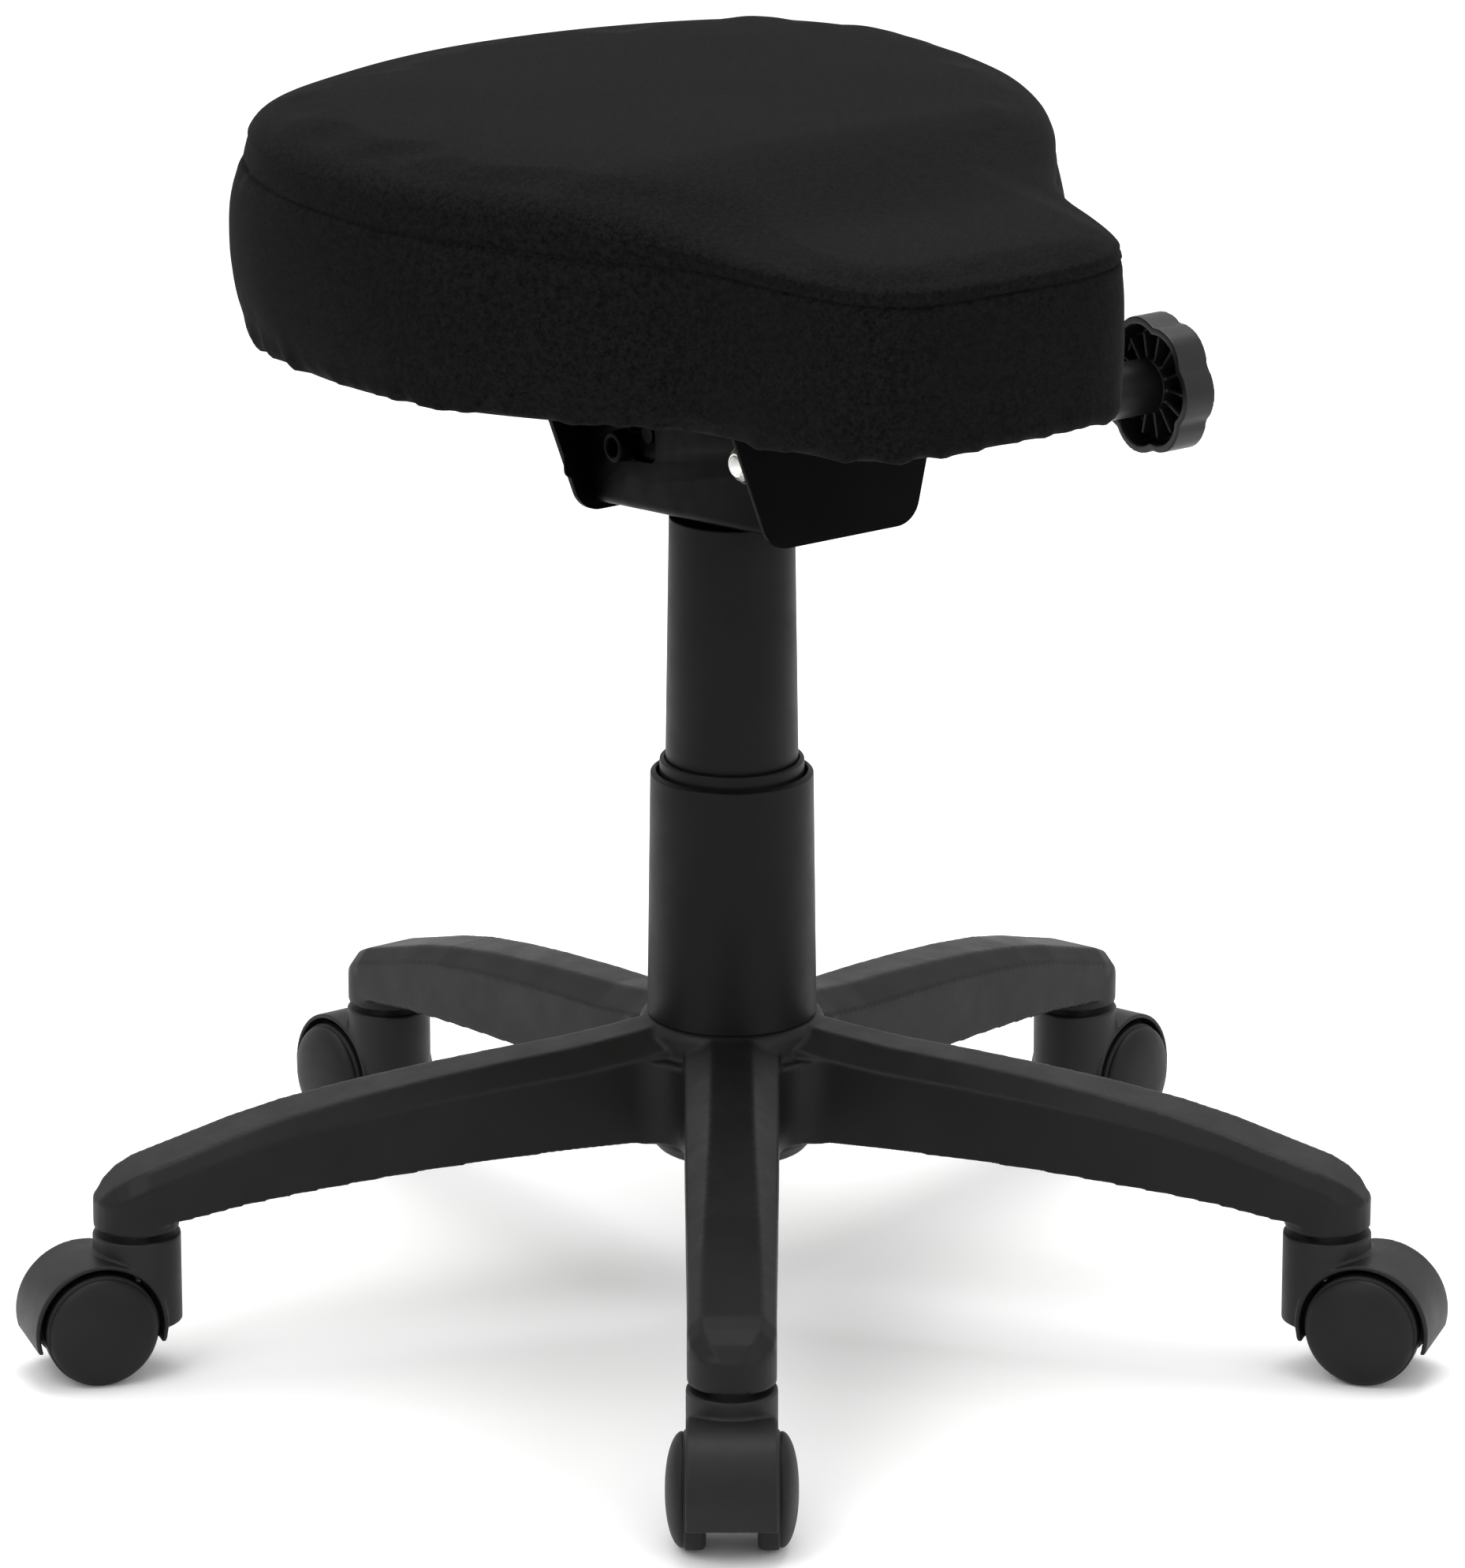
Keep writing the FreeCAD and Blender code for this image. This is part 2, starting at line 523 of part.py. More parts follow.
def make_end_plate(y0, rear):
    t, drop, H = dim("plate_thickness"), dim("plate_drop"), dim("channel_height")
    hb, fl, rc = dim("plate_bottom_half"), math.tan(math.radians(dim("plate_flare"))), dim("plate_corner")
    ht = hb + fl * (H + drop)
    pts = [Vector(-ht, y0, H), Vector(-hb, y0, -drop), Vector(hb, y0, -drop), Vector(ht, y0, H)]
    plate = Part.Face(Part.makePolygon(pts + [pts[0]])).extrude(Vector(0, t, 0))
    edges = [e for e in plate.Edges if abs(e.CenterOfMass.z + drop) < 1e-6 and abs(e.Vertexes[0].Y - e.Vertexes[1].Y) > 1]
    plate = plate.makeFillet(rc, edges)
    tops = [e for e in plate.Edges if abs(e.CenterOfMass.z - H) < 1e-6 and abs(e.Vertexes[0].Y - e.Vertexes[1].Y) > 1]
    plate = plate.makeFillet(4.0, tops)
    if rear:
        # oblong raised pads on the inner face
        for s in (-1, 1):
            pad = Part.makeBox(8.8, 1.2, 13.2, Vector(s * 43.0 - 4.4, y0 - 1.2, 12.5))
            pe = [e for e in pad.Edges if abs(e.Vertexes[0].Y - e.Vertexes[1].Y) > 1]
            plate = plate.fuse(pad.makeFillet(3.6, pe))
        plate = plate.removeSplitter()
    return plate


front = doc.addObject("Part::Feature", "front_end_plate")
front.Shape = make_end_plate(dim("channel_front") - dim("plate_thickness"), False)
keep(leaning(front), "front_end_plate")
rear = doc.addObject("Part::Feature", "rear_end_plate")
rear.Shape = make_end_plate(dim("channel_rear"), True)
keep(leaning(rear), "rear_end_plate")

turned("taper_socket", "taper_socket", [
    ("cylinder_radius + 0.05", "socket_hub_bottom"), ("socket_hub_radius", "socket_hub_bottom"),
    ("socket_hub_radius", "socket_hub_top"), ("cone_top_radius + 0.14", "socket_hub_top")])

# bush for the lift lever: turned about its own Z, then laid along X
turned("lever_bush", "lever_bush", [
    ("lever_radius + 0.08", "-33"), ("lever_radius + 0.08", "-27"), ("lever_bush_radius - 1.22", "-27"),
    ("lever_bush_radius - 1.22", "0 - channel_half - 0.02"), ("lever_bush_radius", "0 - channel_half - 0.02"), ("lever_bush_radius", "-40"),
    ("lever_radius + 0.7", "-40"), ("lever_radius + 0.7", "-33")],
    Placement(Vector(0, dim("lever_y"), dim("lever_z")), Rotation(Vector(0, 1, 0), 90)))

# ---------------------------------------------------------------- tilt knob assembly (turns about X)
PIVOT = Placement(Vector(0, dim("pivot_y"), dim("pivot_z")), Rotation(Vector(0, 1, 0), 90))
turned("pivot_rod", "pivot_rod", [
    ("0", "-39.5"), ("pivot_rod_radius", "-39.5"), ("pivot_rod_radius", "knob_front - 3.4"), ("0", "knob_front - 3.4")], PIVOT)
turned("rod_end_cap", "rod_end_cap", [
    ("0", "-39.6"), ("0", "-42.5"), ("3.6", "-42.2"), ("6.4", "-41.0"), ("8.0", "-38.8"), ("8.5", "-36.6"), ("8.5", "0 - sleeve_start"),
    ("pivot_rod_radius + 0.02", "0 - sleeve_start"), ("pivot_rod_radius + 0.02", "-39.6")], PIVOT)
turned("knob_sleeve", "knob_sleeve", [
    ("pivot_rod_radius + 0.02", "sleeve_start"), ("sleeve_radius", "sleeve_start"), ("sleeve_radius", "knob_back + 2"),
    ("pivot_rod_radius + 0.02", "knob_back + 2")], PIVOT)


def knob_curve(outer, inner, lobes, z, offset=0.0):
    """Closed smooth outline with rounded lobes and shallow valleys."""
    pts = []
    n = lobes * 8
    for i in range(n):
        a = 2 * math.pi * i / n
        c = 0.5 + 0.5 * math.cos(lobes * (a + math.pi / 2))
        r = inner + (outer - inner) * c ** 0.5 - offset
        pts.append(Vector(r * math.cos(a), r * math.sin(a), z))
    curve = Part.BSplineCurve()
    curve.interpolate(pts, PeriodicFlag=True)
    return Part.Wire(curve.toShape())


def make_knob():
    ro, ri, n, t = dim("knob_radius"), dim("knob_valley_radius"), int(dim("knob_lobes")), dim("knob_wall")
    z0, z1 = dim("knob_back"), dim("knob_front")
    rod, rs = dim("pivot_rod_radius") + 0.02, dim("sleeve_radius")
    body = Part.Face(knob_curve(ro, ri, n, z0)).extrude(Vector(0, 0, z1 - z0))
    hollow = Part.Face(knob_curve(ro, ri, n, z0 - 1, t)).extrude(Vector(0, 0, z1 - z0 - t + 1))
    boss = Part.makeCylinder(rs, z1 - z0 - 2, Vector(0, 0, z0 + 2.02))
    for k in range(2 * n):
        rib = Part.makeBox(14.0, 1.2, 9.4, Vector(rs - 2, -0.6, z0 + 4.0))
        rib.rotate(Vector(0, 0, 0), Vector(0, 0, 1), -90.0 + 360.0 / (2 * n) * k)
        boss = boss.fuse(rib.common(Part.makeCylinder(25.0, 60, Vector(0, 0, z0 - 1))))
    hollow = hollow.cut(boss)
    body = body.cut(hollow)
    body = body.cut(Part.makeCylinder(rod, z1 - z0 - 3.0, Vector(0, 0, z0 - 0.02)))
    return body.removeSplitter()


knob = doc.addObject("Part::Feature", "tilt_knob")
knob.Shape = make_knob()
keep(knob, "tilt_knob", PIVOT)

# ---------------------------------------------------------------- lift lever
def bent_rod(points, radius, bend):
    """Round rod along straight runs joined by tangent arcs."""
    pts = [Vector(*p) for p in points]
    edges, last = [], pts[0]
    for i in range(1, len(pts) - 1):
        a, b, c = pts[i - 1], pts[i], pts[i + 1]
        u, v = (a - b).normalize(), (c - b).normalize()
        turn = math.pi - u.getAngle(v)
        cutback = bend * math.tan(turn / 2)
        p, q = b + u * cutback, b + v * cutback
        bis = (u + v).normalize()
        centre = b + bis * (bend / math.cos(turn / 2))
        mid = centre - bis * bend
        edges.append(Part.LineSegment(last, p).toShape())
        edges.append(Part.Arc(p, mid, q).toShape())
        last = q
    edges.append(Part.LineSegment(last, pts[-1]).toShape())
    path = Part.Wire(edges)
    ring = Part.Wire(Part.makeCircle(radius, pts[0], pts[1] - pts[0]))
    pipe = path.makePipeShell([ring], True, False)
    return pipe


ly, lz = dim("lever_y"), dim("lever_z")
LEVER_PATH = [(-31.0, ly, lz), (72.0, ly, lz), (128.0, ly + 30.0, lz), (184.0, ly + 30.0, lz)]


def make_lever():
    rod = bent_rod(LEVER_PATH, dim("lever_radius"), 24.0)
    # crank finger that reaches forward over the release pin
    vt = dim("valve_top")
    collar = Part.makeCylinder(7.0, 16.0, Vector(-8, ly, lz), Vector(1, 0, 0))
    q = [Vector(-8, ly - 3, lz - 4.5), Vector(-8, ly - 3, lz + 6.8), Vector(-8, 12, vt + 5.0), Vector(-8, -7, vt + 5.0),
         Vector(-8, -7, vt + 0.5), Vector(-8, 8, vt + 0.5)]
    finger = Part.Face(Part.makePolygon(q + [q[0]])).extrude(Vector(16, 0, 0))
    finger = finger.cut(Part.makeBox(8, 60, 40, Vector(-9, -8, vt - 20)))
    finger = finger.cut(Part.makeBox(8, 60, 40, Vector(5, -8, vt - 20)))
    return rod.fuse(collar).fuse(finger).removeSplitter()


lever = doc.addObject("Part::Feature", "lift_lever")
lever.Shape = make_lever()
keep(lever, "lift_lever")


def make_grip():
    x0, x1, y, z = 138.0, 190.0, ly + 30.0, lz
    w, t = 11.0, 5.5
    g = Part.makeBox(x1 - x0, 2 * w, 2 * t, Vector(x0, y - w, z - t))
    g = g.makeFillet(5.0, [e for e in g.Edges if abs(e.Vertexes[0].X - e.Vertexes[1].X) > 1])
    g = g.makeFillet(2.5, [e for e in g.Edges if abs(e.CenterOfMass.x - x1) < 1e-6])
    g = g.cut(Part.makeCylinder(dim("lever_radius") + 0.02, 46.02, Vector(x0 - 0.01, y, z), Vector(1, 0, 0)))
    return g


grip = doc.addObject("Part::Feature", "lever_grip")
grip.Shape = make_grip()
keep(grip, "lever_grip")

# ---------------------------------------------------------------- seat
SEAT = [(0, -205.5), (28, -204.5), (52, -200), (68, -190), (76, -178), (83, -160), (89, -140), (94.5, -120), (103.5, -100),
        (118.5, -80), (134.5, -60), (148.5, -40), (160.5, -20), (169.5, 0), (176, 20), (180, 42), (181.5, 65), (180.5, 88), (176.5, 110),
        (169, 130), (157, 149), (137, 168), (106, 183), (68, 194), (32, 200), (0, 201.5)]
RING = SEAT + [(-x, y) for x, y in reversed(SEAT[1:-1])]


def crown_at(y):
    """Crown above the seam: low over the nose, full over the wide part."""
    u = min(1.0, max(0.0, (y + 132.0) / 90.0))
    return dim("nose_crown_height") + (dim("crown_height") - dim("nose_crown_height")) * u * u * (3 - 2 * u)


def seat_ring(scale, height, tilt=0.0, grow=0.0, rise=0.0):
    """Closed seat outline scaled about its middle, on a plane that rises by tilt towards the rear.
    rise is the share of the crown this ring stands above that plane."""
    pts = []
    for x, y in RING:
        sx = scale + grow / 177.0
        sy = scale + grow / 202.0
        X, Y = x * sx, -3.0 + (y + 3.0) * sy
        pts.append(Vector(X, Y, height + tilt * Y + rise * (crown_at(Y) + grow)))
    c = Part.BSplineCurve()
    c.interpolate(pts, PeriodicFlag=True)
    return Part.Wire(c.toShape())


def seat_solid(grow, bottom):
    """Upholstered volume: turned-in foot, upright band, seam, crowned top. grow is negative for inner shapes."""
    zs, k = dim("seam_height"), dim("seam_slope")
    rings = [
        seat_ring(0.968, bottom, 0.0, grow),
        seat_ring(0.998, bottom + 7.0, 0.0, grow),
        seat_ring(1.014, bottom + 21.0, 0.1 * k, grow),
        seat_ring(1.022, bottom + 44.0, 0.5 * k, grow),
        seat_ring(1.021, zs - 14.0, k, grow),
        seat_ring(0.999, zs + 0.1 * grow, k, grow),
        seat_ring(0.992, zs, k, grow, 0.34),
        seat_ring(0.962, zs, k, grow, 0.62),
        seat_ring(0.905, zs, k, grow, 0.79),
        seat_ring(0.760, zs, k, grow, 0.92),
        seat_ring(0.480, zs, k, grow, 0.98),
        seat_ring(0.160, zs, k, grow, 1.00),
    ]
    return Part.makeLoft(rings, True, True)


def seat_board_solid(grow=0.0):
    z0, t = dim("seat_plate_bottom") + dim("seat_plate_thickness"), dim("board_thickness")
    w = seat_ring(0.925, z0 - grow, 0.0, grow)
    return Part.Face(w).extrude(Vector(0, 0, t + 2 * grow))


sx, sy = dim("seat_screw_x"), dim("seat_screw_y")
board_z = dim("seat_plate_bottom") + dim("seat_plate_thickness")


def make_board():
    b = seat_board_solid()
    for x in (-sx, sx):
        for y in (-sy, sy):
            b = b.cut(Part.makeCylinder(4.3, 40, Vector(x, y, board_z - 10)))
            b = b.cut(Part.makeCylinder(9.1, 3.1, Vector(x, y, board_z + dim("board_thickness") - 3.0)))
    return b


def make_foam():
    t = dim("cover_thickness")
    top = board_z + dim("board_thickness") + 0.05
    f = seat_solid(-t - 0.2, dim("cover_bottom") + t)
    return f.cut(Part.makeBox(500, 500, top - 400, Vector(-250, -250, 400)))


def make_cover():
    t = dim("cover_thickness")
    outer = seat_solid(0.0, dim("cover_bottom"))
    inner = seat_solid(-t, dim("cover_bottom") + t - 0.25)
    hole = Part.Face(seat_ring(0.80, dim("cover_bottom") - 5)).extrude(Vector(0, 0, 12))
    board = seat_board_solid(0.05)
    return outer.cut(inner).cut(hole).cut(board)


board = doc.addObject("Part::Feature", "seat_board")
board.Shape = make_board()
keep(board, "seat_board")
foam = doc.addObject("Part::Feature", "seat_foam")
foam.Shape = make_foam()
keep(foam, "seat_foam")
cover = doc.addObject("Part::Feature", "seat_cover")
cover.Shape = make_cover()
keep(cover, "seat_cover")

# seat plate: pad with rounded corners, four screw holes
plate_body = doc.addObject("PartDesign::Body", "seat_plate")
plate_sketch = sketch_polygon(plate_body, "seat_plate_outline", "XY_Plane", [
    ("0 - seat_plate_half_x", "0 - seat_plate_half_y"), ("seat_plate_half_x", "0 - seat_plate_half_y"),
    ("seat_plate_half_x", "seat_plate_half_y"), ("0 - seat_plate_half_x", "seat_plate_half_y")])
pad = plate_body.newObject("PartDesign::Pad", "seat_plate_pad")
pad.Profile = plate_sketch
pad.setExpression("Length", "dims.seat_plate_thickness")
plate_sketch.Visibility = False
doc.recompute()
corner = plate_body.newObject("PartDesign::Fillet", "seat_plate_corners")
corner.Base = (pad, ["Edge%d" % (i + 1) for i, e in enumerate(pad.Shape.Edges)
                     if abs(e.Vertexes[0].Z - e.Vertexes[1].Z) > 1])
corner.Radius = 14.0
doc.recompute()
hole_sketch = plate_body.newObject("Sketcher::SketchObject", "seat_plate_holes")
hole_sketch.AttachmentSupport = [(plane_of(plate_body, "XY_Plane"), "")]
hole_sketch.MapMode = "FlatFace"
n = 0
for hx in (-1, 1):
    for hy in (-1, 1):
        g = hole_sketch.addGeometry(Part.Circle(Vector(hx * sx, hy * sy, 0), Vector(0, 0, 1), 3.3), False)
        c = hole_sketch.addConstraint(Sketcher.Constraint("DistanceX", -1, 1, g, 3, hx * sx))
        hole_sketch.renameConstraint(c, "hx%d" % n)
        hole_sketch.setExpression("Constraints.hx%d" % n, ("" if hx > 0 else "-1 * ") + "dims.seat_screw_x")
        c = hole_sketch.addConstraint(Sketcher.Constraint("DistanceY", -1, 1, g, 3, hy * sy))
        hole_sketch.renameConstraint(c, "hy%d" % n)
        hole_sketch.setExpression("Constraints.hy%d" % n, ("" if hy > 0 else "-1 * ") + "dims.seat_screw_y")
        hole_sketch.addConstraint(Sketcher.Constraint("Radius", g, 3.3))
        n += 1
pocket = plate_body.newObject("PartDesign::Pocket", "seat_plate_drill")
pocket.Profile = hole_sketch
pocket.Type = 1
pocket.Midplane = True
hole_sketch.Visibility = False
plate_body.Tip = pocket
keep(plate_body, "seat_plate", Placement(Vector(0, 0, dim("seat_plate_bottom")), Rotation()))
bind(plate_body, "Placement.Base.z", "seat_plate_bottom")


def make_ears():
    """Two upright ears under the seat plate that carry the pivot rod, joined by a cross tie at the rear."""
    py, pz, top = dim("pivot_y"), dim("pivot_z"), dim("seat_plate_bottom")
    x0, t = dim("ear_inner"), dim("ear_thickness")
    outline = [Vector(0, py - 11.5, top), Vector(0, py - 11.5, pz), Vector(0, py, pz - 13.0), Vector(0, py + 22, pz - 9.5),
               Vector(0, dim("stud_y") - 8, dim("stud_z") - 15.0), Vector(0, dim("stud_y") + 5, dim("stud_z") - 15.0),
               Vector(0, dim("stud_y") + 11, dim("stud_z") - 6.0), Vector(0, dim("stud_y") + 11, top)]
    face = Part.Face(Part.makePolygon(outline + [outline[0]]))
    solids = []
    for s in (-1, 1):
        ear = face.copy()
        ear.translate(Vector(s * (x0 + (t if s < 0 else 0)), 0, 0))
        ear = ear.extrude(Vector(t, 0, 0))
        ear = ear.makeFillet(6.0, [e for e in ear.Edges if abs(e.Vertexes[0].X - e.Vertexes[1].X) > 1
                                   and e.CenterOfMass.z < top - 1 and abs(e.CenterOfMass.z - pz) < 30
                                   and (abs(e.CenterOfMass.y - (py - 11.5)) < 0.1 or abs(e.CenterOfMass.y - py) < 0.1)])
        ear = ear.cut(Part.makeCylinder(dim("pivot_hole_radius"), 100, Vector(-50, py, pz), Vector(1, 0, 0)))
        ear = ear.cut(Part.makeCylinder(dim("stud_radius") + 0.02, 100, Vector(-50, dim("stud_y"), dim("stud_z")), Vector(1, 0, 0)))
        solids.append(ear)
    return Part.makeCompound(solids)


ears = doc.addObject("Part::Feature", "pivot_ears")
ears.Shape = make_ears()
keep(ears, "pivot_ears")

stud_l = cylinder("stud_l", "stud_radius", "5.4", x="0 - ear_inner - 5.4", y="stud_y", z="stud_z", axis="X")
stud_r = cylinder("stud_r", "stud_radius", "5.4", x="ear_inner", y="stud_y", z="stud_z", axis="X")
studs = doc.addObject("Part::Compound", "stop_studs")
studs.Links = [stud_l, stud_r]
keep(studs, "stop_studs")


def make_screws():
    out = []
    for x in (-sx, sx):
        for y in (-sy, sy):
            z = dim("seat_plate_bottom")
            s = Part.makeCylinder(3.0, 14.0, Vector(x, y, z))
            head = Part.makeCylinder(6.0, 3.6, Vector(x, y, z - 3.6))
            head = head.makeFillet(1.4, [e for e in head.Edges if abs(e.CenterOfMass.z - (z - 3.6)) < 1e-6])
            hexa = Part.Face(Part.makePolygon([Vector(x + 2.3 * math.cos(a * math.pi / 3), y + 2.3 * math.sin(a * math.pi / 3), z - 3.7) for a in range(7)])).extrude(Vector(0, 0, 2.2))
            out.append(s.fuse(head).cut(hexa).removeSplitter())
    return Part.makeCompound(out)


def make_tee_nuts():
    out = []
    z = board_z + dim("board_thickness")
    for x in (-sx, sx):
        for y in (-sy, sy):
            n = Part.makeCylinder(4.25, 9.0, Vector(x, y, z - 9.0)).fuse(Part.makeCylinder(8.8, 1.6, Vector(x, y, z - 2.0)))
            n = n.cut(Part.makeCylinder(3.05, 20, Vector(x, y, z - 15)))
            out.append(n.removeSplitter())
    return Part.makeCompound(out)


screws = doc.addObject("Part::Feature", "seat_screws")
screws.Shape = make_screws()
keep(screws, "seat_screws")
nuts = doc.addObject("Part::Feature", "tee_nuts")
nuts.Shape = make_tee_nuts()
keep(nuts, "tee_nuts")

# ---------------------------------------------------------------- castors
CX = "stem_circle_radius + castor_trail"
for k in range(int(dim("arm_count"))):
    p = "castor%d_" % (k + 1)
    around = Placement(Vector(0, 0, 0), Rotation(Vector(0, 0, 1), 90.0 + 72.0 * k))
    # hood: stem housing and wheel cover about the axle
    shank = cylinder(p + "shank", "hood_half_width", "hood_top - hood_shank_bottom", x="stem_circle_radius", z="hood_shank_bottom")
    drum = cylinder(p + "drum", "hood_radius", "2 * hood_half_width", x=CX, y="0 - hood_half_width", z="wheel_radius", axis="Y")
    solid = fuse(p + "blank", shank, drum)
    arch_a = cylinder(p + "arch_a", "hood_inner_radius", "12", x=CX, y="hood_boss_half + 0.1", z="wheel_radius", axis="Y")
    arch_b = cylinder(p + "arch_b", "hood_inner_radius", "12", x=CX, y="0 - hood_boss_half - 12.1", z="wheel_radius", axis="Y")
    cav = cylinder(p + "cavity", "hood_cavity_radius", "2 * hood_boss_half + 0.2", x=CX, y="0 - hood_boss_half - 0.1", z="wheel_radius", axis="Y")
    web = box(p + "web", CX + " - 40", CX + " + 40", "0 - hood_web_half", "hood_web_half", "-10", "70")
    boss = cylinder(p + "boss", "hood_boss_radius", "2 * hood_boss_half", x=CX, y="0 - hood_boss_half", z="wheel_radius", axis="Y")
    cav = cut(p + "cavity_open", cut(p + "cavity_side", cav, web), boss)
    low = box(p + "below", "230", "340", "-30", "30", "-20", "hood_bottom")
    bore = cylinder(p + "stem_bore", "stem_radius + 0.02", "40", x="stem_circle_radius", z="stem_bottom - 0.5")
    abore = cylinder(p + "axle_bore", "axle_radius + 0.02", "60", x=CX, y="-30", z="wheel_radius", axis="Y")
    tools = fuse(p + "tools", arch_a, arch_b, cav, low, bore, abore)
    keep(cut(p + "hood", solid, tools), p + "hood", around)
    # stem, turned
    turned(p + "stem", p + "stem", [
        ("0", "stem_bottom"), ("stem_radius", "stem_bottom"), ("stem_radius", "hood_top + 0.05"), ("stem_collar_radius", "hood_top + 0.05"),
        ("stem_collar_radius", "stem_collar_top"), ("stem_radius", "stem_collar_top"), ("stem_radius", "stem_top - 1"),
        ("stem_radius - 1", "stem_top"), ("0", "stem_top")],
        around.multiply(Placement(Vector(dim("stem_circle_radius"), 0, 0), Rotation())))
    # axle
    axle = cylinder(p + "axle", "axle_radius", "2 * axle_half", x=CX, y="0 - axle_half", z="wheel_radius", axis="Y")
    keep(axle, p + "axle")
    axle.setExpression("Placement.Base.x", None)
    axle.setExpression("Placement.Base.y", None)
    axle.Placement = around.multiply(Placement(Vector(dim("stem_circle_radius") + dim("castor_trail"), -dim("axle_half"), dim("wheel_radius")),
                                               Rotation(Vector(1, 0, 0), -90)))
    # wheels: tread, domed outer face, inner recess, blind bore
    for side, turn in (("a", -90), ("b", 90)):
        dome = []
        for i in range(1, 10):
            a = math.radians(10.0 * i)
            dome.append(("%.4f * wheel_radius" % math.cos(a), "wheel_tread_end + %.4f * wheel_dome" % math.sin(a)) if i < 9
                        else ("0", "wheel_tread_end + wheel_dome"))
        turned(p + "wheel_" + side, p + "wheel_" + side, [
            ("wheel_bore_radius", "wheel_inner"), ("wheel_boss_radius", "wheel_inner"), ("wheel_boss_radius", "wheel_recess_end"),
            ("wheel_recess_radius", "wheel_recess_end"), ("wheel_recess_radius", "wheel_inner"),
            ("wheel_radius - 1", "wheel_inner"), ("wheel_radius", "wheel_inner + 1"), ("wheel_radius", "wheel_tread_end")] + dome + [
            ("0", "wheel_bore_end"), ("wheel_bore_radius", "wheel_bore_end")],
            around.multiply(Placement(Vector(dim("stem_circle_radius") + dim("castor_trail"), 0, dim("wheel_radius")),
                                      Rotation(Vector(1, 0, 0), turn))))

doc.recompute()

# ---------------------------------------------------------------- checks and export
bad = [o.Name for o in doc.Objects if "Invalid" in o.State or "Error" in o.State]
if bad:
    raise RuntimeError("objects failed: " + ", ".join(bad))
labels = set()
for obj in SUBPARTS:
    s = obj.Shape
    if s.isNull() or not s.isValid() or s.Volume <= 0:
        raise RuntimeError("bad shape: " + obj.Label)
    if not s.Solids:
        raise RuntimeError("no solid: " + obj.Label)
    if obj.Label in labels:
        raise RuntimeError("label twice: " + obj.Label)
    labels.add(obj.Label)

os.makedirs("parts", exist_ok=True)
for obj in SUBPARTS:
    obj.Shape.exportStep(os.path.join("parts", obj.Label + ".step"))
    b = obj.Shape.BoundBox
    print("%-22s solids %d  volume %9.1f  x %7.1f %7.1f  y %7.1f %7.1f  z %6.1f %6.1f" % (
        obj.Label, len(obj.Shape.Solids), obj.Shape.Volume, b.XMin, b.XMax, b.YMin, b.YMax, b.ZMin, b.ZMax))
print("nodes", len(SUBPARTS))
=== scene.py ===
import json
import math

import bmesh
import bpy
import numpy as np
from mathutils import Matrix, Vector, noise
from mathutils.bvhtree import BVHTree


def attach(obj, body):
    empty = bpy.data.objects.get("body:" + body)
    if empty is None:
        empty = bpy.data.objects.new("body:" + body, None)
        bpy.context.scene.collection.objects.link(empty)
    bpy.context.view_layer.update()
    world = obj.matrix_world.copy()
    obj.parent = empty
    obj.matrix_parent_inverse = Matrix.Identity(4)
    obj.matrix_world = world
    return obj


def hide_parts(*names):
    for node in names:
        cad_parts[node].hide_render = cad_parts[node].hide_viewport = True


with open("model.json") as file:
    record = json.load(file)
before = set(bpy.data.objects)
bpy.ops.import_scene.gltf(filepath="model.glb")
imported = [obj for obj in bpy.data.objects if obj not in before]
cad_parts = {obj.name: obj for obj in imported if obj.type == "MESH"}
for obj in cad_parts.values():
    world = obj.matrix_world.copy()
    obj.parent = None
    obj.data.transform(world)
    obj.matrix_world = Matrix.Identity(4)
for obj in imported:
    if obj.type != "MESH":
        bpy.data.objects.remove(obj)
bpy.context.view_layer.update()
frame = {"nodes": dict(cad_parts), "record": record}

scene = bpy.context.scene
scene.view_settings.view_transform = "Standard"
MM = 0.001

# ------------------------------------------------------------------ materials


def material(name):
    m = bpy.data.materials.new(name)
    m.use_nodes = True
    nt = m.node_tree
    nt.nodes.clear()
    out = nt.nodes.new("ShaderNodeOutputMaterial")
    b = nt.nodes.new("ShaderNodeBsdfPrincipled")
    nt.links.new(b.outputs["BSDF"], out.inputs["Surface"])
    tc = nt.nodes.new("ShaderNodeTexCoord")
    return m, nt, b, tc.outputs["Object"]


def add(nt, kind, **kw):
    n = nt.nodes.new(kind)
    for k, v in kw.items():
        if k in n.inputs:
            n.inputs[k].default_value = v
        else:
            setattr(n, k, v)
    return n


def noise_tex(nt, co, scale, detail=2.0, rough=0.5, stretch=None):
    if stretch:
        mp = add(nt, "ShaderNodeMapping")
        mp.inputs["Scale"].default_value = stretch
        nt.links.new(co, mp.inputs["Vector"])
        co = mp.outputs["Vector"]
    n = add(nt, "ShaderNodeTexNoise", Scale=scale, Detail=detail, Roughness=rough)
    nt.links.new(co, n.inputs["Vector"])
    return n.outputs["Fac"]


def ramp(nt, fac, stops):
    r = nt.nodes.new("ShaderNodeValToRGB")
    e = r.color_ramp.elements
    while len(e) < len(stops):
        e.new(0.5)
    for el, (p, c) in zip(e, stops):
        el.position = p
        el.color = (*c, 1.0) if not isinstance(c, float) else (c, c, c, 1.0)
    nt.links.new(fac, r.inputs["Fac"])
    return r.outputs["Color"]


def map_range(nt, fac, a, b, lo, hi):
    n = nt.nodes.new("ShaderNodeMapRange")
    n.inputs["From Min"].default_value = a
    n.inputs["From Max"].default_value = b
    n.inputs["To Min"].default_value = lo
    n.inputs["To Max"].default_value = hi
    nt.links.new(fac, n.inputs["Value"])
    return n.outputs["Result"]


